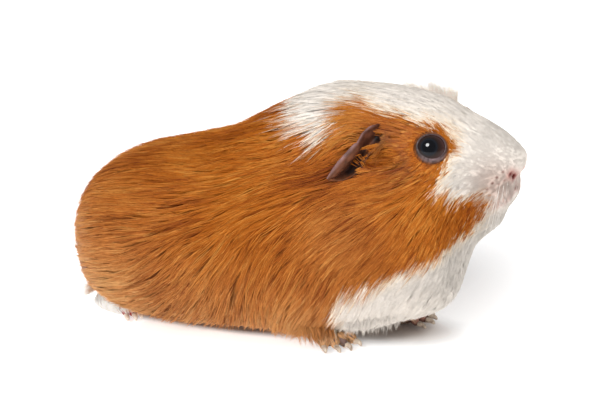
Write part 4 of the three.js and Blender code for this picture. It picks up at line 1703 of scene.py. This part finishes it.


@dataclass
class Wisps:
    """Every loose lock: on the crown, at the rump, along the hem of belly and chest, and before the ears."""

    form: Form
    markings: Markings
    painted_backlight: str = "F6EADC"  # the near white that down is mixed towards, a painted light in place of light coming through it
    painted_backlight_share: float = 0.45
    above_floor: float = 0.5 * MM
    wisps: tuple[Wisp, ...] = (
        Wisp((42, 8, 100.5), (52, 11, 98.5), (1.5, 4, 1), (-0.5, 0.1, 0.75), 4.0, 70, 5, 12,
             (-0.2, 0, -0.1), 0.06, 0.8, ("left",), True),
        Wisp((50, 12, 98.5), (59, 13, 96), (1.5, 3, 1), (-0.05, 0.2, 1), 5.6, 120, 5, 12, (-0.3, 0, -0.1),
             0.06, 1.0, ("left",), True),
        Wisp((57, 13, 96.5), (61.5, 13, 95.7), (0.8, 3, 1), (0.0, 0.2, 1), 6.6, 70, 4, 14, (-0.15, 0, 0),
             0.05, 1.0, ("left",), True),
        Wisp((-84, 12, 12), (-79, 26, 10), (1.5, 3, 2), (-0.7, 0.1, -0.7), 6.5, 70, 4, 18, (-0.1, 0, 0.1),
             0.045, 1.0, down=True),
        Wisp((-45, 37, 10), (4, 35, 8), (3, 2, 3), (-0.75, 0.1, -0.4), 5.5, 30, 5, 10, (0, 0, -0.15),
             0.07, 2.2),
        Wisp((31, 25, 13), (48, 19, 14), (2, 4, 2), (-0.1, 0.1, -1.0), 5.5, 130, 5, 12, (0, 0, 0), 0.06,
             2.0),
        Wisp((32, 9, 6), (45, 7, 9.5), (3, 5, 2), (-0.1, 0.1, -1.0), 4.5, 110, 5, 14, (0, 0, 0), 0.06, 2.0),
        Wisp((11, 25, 12), (22, 20, 12), (2, 2, 1.5), (0.35, 0.25, -1.0), 6.0, 80, 5, 10, (0, 0, 0), 0.08,
             1.0, ("right",)),
        Wisp((45, 23, 87.5), (42.5, 26.5, 80), (0.8, 0.6, 1), (-0.75, 0.35, -0.7), 6.5, 40, 2, 16,
             (0, -0.12, -0.15), 0.055, 0.3),
    )  # fmt: skip

    def tufts(self, wisp: Wisp, side: float, seed: int) -> Tufts:
        """The hairs of one wisp on one side.

        Args:
            wisp: the wisp.
            side: the side of the animal.
            seed: of its random draw.

        Returns:
            The tufts.
        """
        draw = np.random.default_rng(seed)
        mirror = np.array((1, side, 1))
        start, stop = np.array(wisp.start, float), np.array(wisp.stop, float)
        count, hairs = wisp.tufts, wisp.hairs
        scatter = start + (stop - start) * draw.uniform(0, 1, (count, 1))
        scatter += draw.normal(size=(count, 3)) * np.array(wisp.reach) * 0.6
        roots, facings = self.form.nearest(scatter * mirror * MM)
        stray = math.tan(math.radians(wisp.fan))
        way = unit(np.array(wisp.way, float) * mirror)
        way = unit(way[None] + stray * draw.normal(size=(count, 3)) * 0.7)
        long = wisp.long * MM * draw.normal(1, 0.18, count).clip(0.5, 1.5)
        shares = np.array(Cut.BENT.value)
        across = unit(np.cross(facings, way) + 1e-6)
        spots = (
            (roots - facings * wisp.sunk * MM)[:, None]
            + way[:, None] * (long[:, None] * shares)[..., None]
            + np.array(wisp.bend) * mirror * (long[:, None] * shares**2)[..., None]
        )
        across = np.repeat(across[:, None], 3, axis=1)
        outs = np.cross(np.repeat(way[:, None], 3, axis=1), across)
        close = (1 - 0.6 * shares)[None, None, :]
        aside, deep = draw.uniform(-0.8, 0.8, (2, count, hairs, 1)) * MM * close
        slip = draw.uniform(-0.2, 0.1, (count, hairs, 1)) * long[:, None, None] * shares
        line = spots[:, None] + across[:, None] * aside[..., None] + outs[:, None] * 0.5 * deep[..., None]
        line = line + way[:, None, None] * slip[..., None]
        line[..., 2] = np.maximum(line[..., 2], self.above_floor)
        wide = wisp.wide * MM * draw.uniform(0.8, 1.2, (count, hairs, 1)) * (1 - 0.3 * shares[:-1])
        lit = np.array((0.0, 0.0, 1.0)) if wisp.down else unit(facings * (1, 1, 0) + (0, 0, 0.4))[:, None]
        shape = tufts_along(line, across, outs, wide, draw, 0.75, lit)
        tone = draw.normal(0.1, 0.4, count * hairs)
        base = self.markings.colour(np.repeat(roots, hairs, axis=0), 0.0, tone)
        # down is painted lighter, a painted backlight
        base = mixed(base, self.painted_backlight, np.full(len(base), self.painted_backlight_share if wisp.down else 0.0))
        shade = np.concatenate([np.repeat(0.85 + 0.2 * shares[:-1], 3), [1.1]])
        colours = (base[:, None] * shade[None, :, None]).reshape(-1, 3)
        return Tufts(*shape, colours, tuft_unwrap(roots, 3, hairs))

    def build(self, material: Material, down: Material) -> None:
        """Makes the locks in one piece, and the down in another.

        Args:
            material: of the locks.
            down: of the down.
        """
        for name, finish_of, is_down in (("coat_wisps", material, False), ("coat_down", down, True)):
            parts = [
                self.tufts(wisp, SIDES[side], SEED + 100 + 2 * i + k)
                for i, wisp in enumerate(self.wisps)
                for k, side in enumerate(wisp.sides)
                if wisp.down is is_down
            ]
            finish(joined(parts).piece(name), finish_of, "coat_white")


@dataclass
class Whiskers:
    """The whiskers: long thin tapering bristles from the pads beside the nose. Sizes in millimetres."""

    form: Form
    rows: tuple[Spot, ...] = (
        (87, 9, 71.5), (84.5, 10.5, 70), (86, 10, 68), (83.5, 12, 66.5), (86.5, 8.5, 65.5),
    )  # fmt: skip
    each: int = 3
    long: tuple[float, float] = (11, 22)
    thick: float = 0.055
    shares: tuple[float, ...] = (0.12, 0.27, 0.43, 0.6, 0.8, 1.0)
    taper: float = 0.85
    bristle: str = "F2EEE8"

    def build(self) -> None:
        """Makes every whisker in one piece."""
        draw = np.random.default_rng(SEED + 300)
        shape = bmesh.new()
        for side in SIDES.values():
            for x, y, z in self.rows:
                for _ in range(self.each):
                    place = np.array((x, y * side, z)) + draw.normal(size=3) * 0.9
                    root, facing = (value[0] for value in self.form.nearest(place[None] * MM))
                    way = unit(facing + np.array((draw.uniform(-0.7, -0.1), 0, draw.uniform(-1.1, -0.1))))
                    way = unit(way - (max(way[0] - 0.05, 0), 0, 0))
                    self.whisker(shape, root - facing * MM, way, draw.uniform(*self.long) * MM, draw)
        bmesh.ops.recalc_face_normals(shape, faces=shape.faces)
        mesh = mesh_of("whiskers", shape)
        paint(mesh, np.repeat(rgb(self.bristle)[None], len(mesh.vertices), axis=0))
        # the whiskers glow a little, a painted light
        hair = CoatHair("whisker", roughness=0.3, painted_glow=0.2)
        finish(object_of("whiskers", mesh), hair.material(), "coat_white")

    def whisker(self, shape: BMesh, root: Array, way: Array, long: float, draw: Draw) -> None:
        """Adds one whisker, a cone drawn out and bent down under its weight.

        Args:
            shape: what it is added to.
            root: where it grows.
            way: where it points.
            long: its length.
            draw: the random draw.
        """
        ring = bmesh.ops.create_circle(shape, cap_ends=True, segments=4, radius=self.thick * MM)["verts"]
        faces = list({face for corner in ring for face in corner.link_faces})
        turn = Vector(way).to_track_quat("Z", "Y").to_matrix()
        sag = Vector((draw.uniform(-0.12, 0.0), 0, draw.uniform(-0.3, -0.1)))
        rings = [(ring, 0.0)]
        for share in self.shares:
            grown = bmesh.ops.extrude_face_region(shape, geom=faces)["geom"]
            ring = [part for part in grown if isinstance(part, bmesh.types.BMVert)]
            faces = [part for part in grown if isinstance(part, bmesh.types.BMFace)]
            rings.append((ring, share))
        for ring, share in rings:
            for corner in ring:
                flat = corner.co * (1 - self.taper * share)
                flat.z = long * share
                corner.co = Vector(root) + turn @ flat + sag * (long * share * share)


# ---------------- feet and claws


@dataclass
class Paw:
    """One foot: bare skin of sole and toes, with short hair on its back. Sizes in millimetres."""

    name: str
    claws: int
    hair: str  # the colour of its hair
    bare_from: float  # the share of the way from ankle to toe tips where the hair gives out
    tufts: int
    skin: str
    sides: float = 0.0  # how far round its sides the foot is furred behind the toes, from -1 to 1
    streaks: float = 0.16  # how much its hairs differ
    long: float = 4.0
    hairs: int = 6
    thick: float = 0.12
    lifts: Spot = (-0.35, 0.35, 0.55)  # how high root, middle and tip of a hair lie over the skin
    shades: Spot = (-1.9, -0.3, 0.6)  # how light they are, in streaks: darker at the root, a painted shade among the hairs
    droop: float = 0.35  # how far the hair points down
    above_floor: float = 0.4
    claw: float = 0.85  # how much of the solid's claw stands clear of the hair
    blunt: float = 1.25  # how much thicker than the solid's the claw is, before it is rounded
    horns: tuple[str, str] = ("D2C0AC", "8E7868")  # the light and the dark of its claws

    def build(self, material: Material) -> None:
        """Makes the foot, its claws and its hair.

        Args:
            material: the hair's.
        """
        node = self.name.replace("_", "foot_", 1)
        mesh = one_surface(f"paw_{self.name}", copied([node]), 0.42 * MM, 0.05 * MM, 5)
        places = places_of(mesh)
        places[:, 2] = np.maximum(places[:, 2], 0)
        move_to(mesh, places)
        foot = Surface(mesh)
        ankle = foot.places[foot.places[:, 2] > 0.8 * foot.places[:, 2].max()].mean(axis=0)
        ahead = unit((np.mean([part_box(claw) for claw in self.claw_nodes()], axis=(0, 1)) - ankle) * (1, 1, 0))
        furry = self.furry(foot, (foot.places - ankle) @ ahead)
        # the skin is painted darker where it faces down, a painted shade on the sole and under the toes
        skin = rgb(self.skin) * (0.45 + 0.65 * smooth((foot.facings[:, 2] + 0.5) / 1.2))[:, None]
        paint(foot.mesh, skin + (rgb(self.hair) * 0.8 - skin) * furry[:, None])
        bare = BareSkin("paw_skin", roughness=0.55, crease=0.6 * MM, height=0.12 * MM)
        finish(object_of(foot.mesh.name, foot.mesh), bare.material(), "paw_skin", node)
        self.horn(Vector(ankle))
        tufts = self.coat(foot, ankle, ahead, furry[foot.corners].mean(axis=1))
        finish(tufts.piece(f"coat_foot_{self.name}"), material, "coat_white")

    def furry(self, foot: Surface, far: Array) -> Array:
        """How hairy the foot is.

        Args:
            foot: the foot's skin.
            far: how far its corners are from the ankle towards the toes.

        Returns:
            A share for each corner.
        """
        far = far / far.max()
        toes = smooth((far - 0.15) / 0.3)
        top = smooth((foot.facings[:, 2] + self.sides * (1 - toes) - 0.1 * toes) / 0.4)
        return (1 - smooth((far - self.bare_from) / 0.25)) * top

    def claw_nodes(self) -> list[str]:
        """The names of the foot's claws in the solids."""
        return [f"claw_{self.name}_{i + 1}" for i in range(self.claws)]

    def horn(self, ankle: Vector) -> None:
        """Makes the claws.

        Args:
            ankle: the middle of the foot's top, which the claws point away from.
        """
        nodes = self.claw_nodes()
        shape = bmesh.new()
        for node in nodes:
            one = copied([node])
            places = [corner.co.copy() for corner in one.verts]
            root = min(places, key=lambda place: (place - ankle).length)
            tip = max(places, key=lambda place: (place - ankle).length)
            axis = (tip - root).normalized()
            for corner in one.verts:
                along = axis * (corner.co - root).dot(axis)
                thicker = self.blunt * (1 + 0.5 * along.length / (tip - root).length)
                corner.co = root + along * self.claw + (corner.co - root - along) * thicker
                corner.co.z = max(corner.co.z, 0.1 * MM)
            mesh = mesh_of(node, one)
            shape.from_mesh(mesh)
            bpy.data.meshes.remove(mesh)
        claws = object_of(f"claws_{self.name}", mesh_of(f"claws_{self.name}", shape))
        soft = claws.modifiers.new("soft", "SUBSURF")
        soft.levels = soft.render_levels = 2
        finish(claws, Horn(*self.horns).material(), "claw", *nodes)

    def coat(self, foot: Surface, ankle: Array, ahead: Array, share: Array) -> Tufts:
        """The short hair on the back of the foot, which lies towards the toes.

        Args:
            foot: the foot's skin.
            ankle: the middle of its top.
            ahead: the way that the toes point.
            share: how hairy each triangle is.

        Returns:
            The tufts.
        """
        draw = np.random.default_rng(SEED + 200 + sum(map(ord, self.name)))
        count, hairs = self.tufts, self.hairs
        roots, facings = foot.spots(count, share, draw)
        shares = np.array(Cut.BENT.value)
        long = self.long * MM * draw.uniform(0.7, 1.2, count)
        away = 0.8 * ahead + 0.6 * unit(roots - ankle) - (0, 0, self.droop)
        spots, outs, ways = [roots], [facings], []
        for _ in shares[1:]:
            way = unit(away - (away * outs[-1]).sum(axis=1, keepdims=True) * outs[-1])
            spot, out = foot.nearest(spots[-1] + way * (long / 2)[:, None])
            ways.append(way)
            spots.append(spot)
            outs.append(out)
        ways.append(ways[-1])
        middle, outs, ways = (np.stack(values, axis=1) for values in (spots, outs, ways))
        across = unit(np.cross(outs, ways))
        aside = draw.uniform(-0.8, 0.8, (count, hairs, 1)) * MM * (1 - 0.5 * shares)
        slip = draw.uniform(-0.3, 0.3, (count, hairs, 1)) * long[:, None, None]
        lift = np.array(self.lifts) * MM * draw.uniform(0.6, 1.5, (count, hairs, 1))
        line = middle[:, None] + across[:, None] * aside[..., None] + ways[:, None] * slip[..., None]
        line = line + outs[:, None] * lift[..., None]
        line[..., 2] = np.maximum(line[..., 2], self.above_floor * MM)
        wide = self.thick * MM * draw.uniform(0.8, 1.2, (count, hairs, 1)) * (1 - 0.2 * shares[:-1])
        shape = tufts_along(line, across, outs, wide, draw)
        tone = draw.normal(1, self.streaks, (count * hairs, 1, 1))
        shade = (1 + self.streaks * np.repeat(self.shades, (3, 3, 1)))[None, :, None]
        colours = (rgb(self.hair) * shade * tone).reshape(-1, 3)
        return Tufts(*shape, colours, tuft_unwrap(roots, 3, hairs))


# ---------------- the studio


@dataclass(frozen=True)
class Lamp:
    """A round soft light that looks at the animal."""

    name: str
    place: Spot
    size: float
    power: float
    mirrored: bool = False  # whether it only shows in the eyes and on the hair, and lights nothing

    def hang(self, target: Vector) -> None:
        """Adds the light.

        Args:
            target: where it looks.
        """
        light = bpy.data.lights.new(self.name, "AREA")
        light.shape = "DISK"
        light.size = self.size
        light.energy = self.power
        holder = object_of(self.name, light)
        holder.visible_glossy = self.mirrored
        holder.visible_diffuse = not self.mirrored
        holder.location = self.place
        holder.rotation_euler = (Vector(self.place) - target).to_track_quat("Z", "Y").to_euler()


@dataclass(frozen=True)
class Oval:
    """An oval on the floor: its middle, and half its length and width. In metres."""

    x: float
    y: float
    long: float
    wide: float

    def far(self, tree: Tree, place: Socket) -> Socket:
        """How far the floor is from its middle, 1 at its edge.

        Args:
            tree: the floor's nodes.
            place: the floor's places.

        Returns:
            The distance.
        """
        scale, start = (1 / self.long, 1 / self.wide, 0), (-self.x / self.long, -self.y / self.wide, 0)
        inputs = {0: place, 1: scale, 2: start}
        moved = add_node(tree, "ShaderNodeVectorMath", {"operation": "MULTIPLY_ADD"}, inputs)
        length = add_node(tree, "ShaderNodeVectorMath", {"operation": "LENGTH"}, {0: moved.outputs[0]})
        return length.outputs["Value"]


@dataclass(frozen=True)
class Paper:
    """Matt white studio paper: dull, glowing round the animal and painted darker under it, a painted shadow."""

    lit: str = "F6F6F6"
    # the colour of the painted shadow under the animal
    shaded: str = "C9B7AB"
    roughness: float = 0.9
    shine: float = 0.1
    glow: float = 0.6  # how strongly it glows, a painted light, outside the painted shadow of the animal
    least_glow: float = 0.03
    # the ovals of painted shadow under the animal, where it glows least and is painted darker
    shades: tuple[Oval, Oval] = (Oval(0.0, 0.010, 0.068, 0.023), Oval(-0.036, -0.0088, 0.049, 0.0108))
    soft_shade: Oval = Oval(0.030, 0.075, 0.055, 0.080)  # the painted shadow's faint outer part, where the glow is dimmed

    def material(self) -> Material:
        """The paper's material."""
        material, tree, shader = new_material("matt_white_paper_painted_shadow")
        place = add_node(tree, "ShaderNodeTexCoord").outputs["Object"]
        near, other = (shade.far(tree, place) for shade in self.shades)
        far = add_node(tree, "ShaderNodeMath", {"operation": "MINIMUM"}, {0: near, 1: other}).outputs["Value"]
        # glow outside the painted shadow, dimmed in its faint outer part, and the darker colour painted under
        # the animal
        spans = (
            (far, 0.72, 1.15, self.least_glow, self.glow),
            (self.soft_shade.far(tree, place), 0.3, 1.2, 0.0, 1.0),
            (far, 0.6, 1.0, 1.0, 0.0),
        )
        names = ("Value", "From Min", "From Max", "To Min", "To Max")
        ranges = [add_node(tree, "ShaderNodeMapRange", inputs=dict(zip(names, span))) for span in spans]
        glow, dim, under = (node.outputs["Result"] for node in ranges)
        dimmed = add_node(tree, "ShaderNodeMath", {"operation": "MULTIPLY"}, {0: glow, 1: dim})
        inputs = {"Factor": under, "A": linear(self.lit), "B": linear(self.shaded)}
        tone = add_node(tree, "ShaderNodeMix", {"data_type": "RGBA"}, inputs)
        fill(shader, {
            "Base Color": tone.outputs["Result"],
            "Roughness": self.roughness,
            "Specular IOR Level": self.shine,
            "Emission Color": linear("FFFFFF"),
            "Emission Strength": dimmed.outputs["Value"],
        })
        return material


@dataclass
class Studio:
    """A plain pale floor, soft light and the camera."""

    azimuth: float = 22.0
    elevation: float = 18.0
    target: Spot = (3.1 * MM, 1.2 * MM, 50 * MM)
    distance: float = 0.8
    lens: float = 120.0
    sensor: float = 36.0
    floor_size: float = 6.0
    sky: float = 0.56  # the light from all round, which the camera sees as white
    lamps: tuple[Lamp, ...] = (
        Lamp("key", (-0.10, -0.93, 0.58), 0.30, 5.4),
        Lamp("top", (-0.05, 0.0, 1.2), 1.7, 7.2),
        Lamp("catch_light", (-0.08, -0.74, 0.85), 0.42, 18.0, mirrored=True),
    )

    def camera(self) -> None:
        """Sets the camera."""
        turn, rise = math.radians(self.azimuth), math.radians(self.elevation)
        back = Vector((math.sin(turn) * math.cos(rise), -math.cos(turn) * math.cos(rise), math.sin(rise)))
        lens = bpy.data.cameras.new("camera")
        lens.lens = self.lens
        lens.sensor_width = self.sensor
        lens.clip_start = 0.05
        holder = object_of("camera", lens)
        holder.location = Vector(self.target) + back * self.distance
        holder.rotation_euler = back.to_track_quat("Z", "Y").to_euler()
        bpy.context.scene.camera = holder

    def floor(self) -> None:
        """Lays the floor."""
        shape = bmesh.new()
        bmesh.ops.create_grid(shape, x_segments=1, y_segments=1, size=self.floor_size / 2)
        floor = object_of("floor", mesh_of("floor", shape))
        floor.data.materials.append(Paper().material())

    def world(self) -> None:
        """Sets the light from all round."""
        world = bpy.data.worlds.new("studio")
        world.use_nodes = True
        tree = world.node_tree
        seen = add_node(tree, "ShaderNodeLightPath").outputs["Is Camera Ray"]
        inputs = {"Value": seen, "To Min": self.sky, "To Max": 1.0}
        strength = add_node(tree, "ShaderNodeMapRange", inputs=inputs).outputs["Result"]
        fill(tree.nodes["Background"], {"Color": linear("FFFFFF"), "Strength": strength})
        bpy.context.scene.world = world

    def build(self) -> None:
        """Sets up camera, floor, world and lights."""
        self.camera()
        self.floor()
        bpy.context.scene.view_settings.view_transform = "Standard"
        self.world()
        for lamp in self.lamps:
            lamp.hang(Vector(self.target))


# ---------------- the animal


def main() -> None:
    """Builds the animal and its studio."""
    logging.basicConfig(level=logging.INFO, format="%(message)s")
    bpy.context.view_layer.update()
    Studio().build()
    form = Form()
    markings, depth, muzzle = Markings(), Depth(form.eyes), Muzzle(form)
    HideSkin(form, depth, markings, muzzle).build()
    hair = CoatHair().material()
    # down and the hair of the hind feet glow a little, a painted light
    down = CoatHair("guinea_pig_down_painted_glow", painted_glow=0.2).material()
    fine = CoatHair("guinea_pig_foot_hair_painted_glow", painted_glow=0.09).material()
    pink = ("F2E8DC", "CDB8A8")
    for side in SIDES:
        Eye(side).build()
        Ear(side).build()
        hind = Paw(f"hind_{side}", 3, "FFFAF4", 0.64, 420, "C4504A", sides=0.8, streaks=0.05, horns=pink)
        hind.build(fine)
    Paw("fore_right", 4, "E4AE7C", 0.42, 300, "7A6058").build(hair)
    Paw("fore_left", 4, "E0BC9C", 0.2, 160, "A87868").build(hair)
    Coat(form, Lie(), markings, depth, muzzle).build(hair)
    Wisps(form, markings).build(hair, down)
    Whiskers(form).build()


if __name__ == "__main__":
    main()
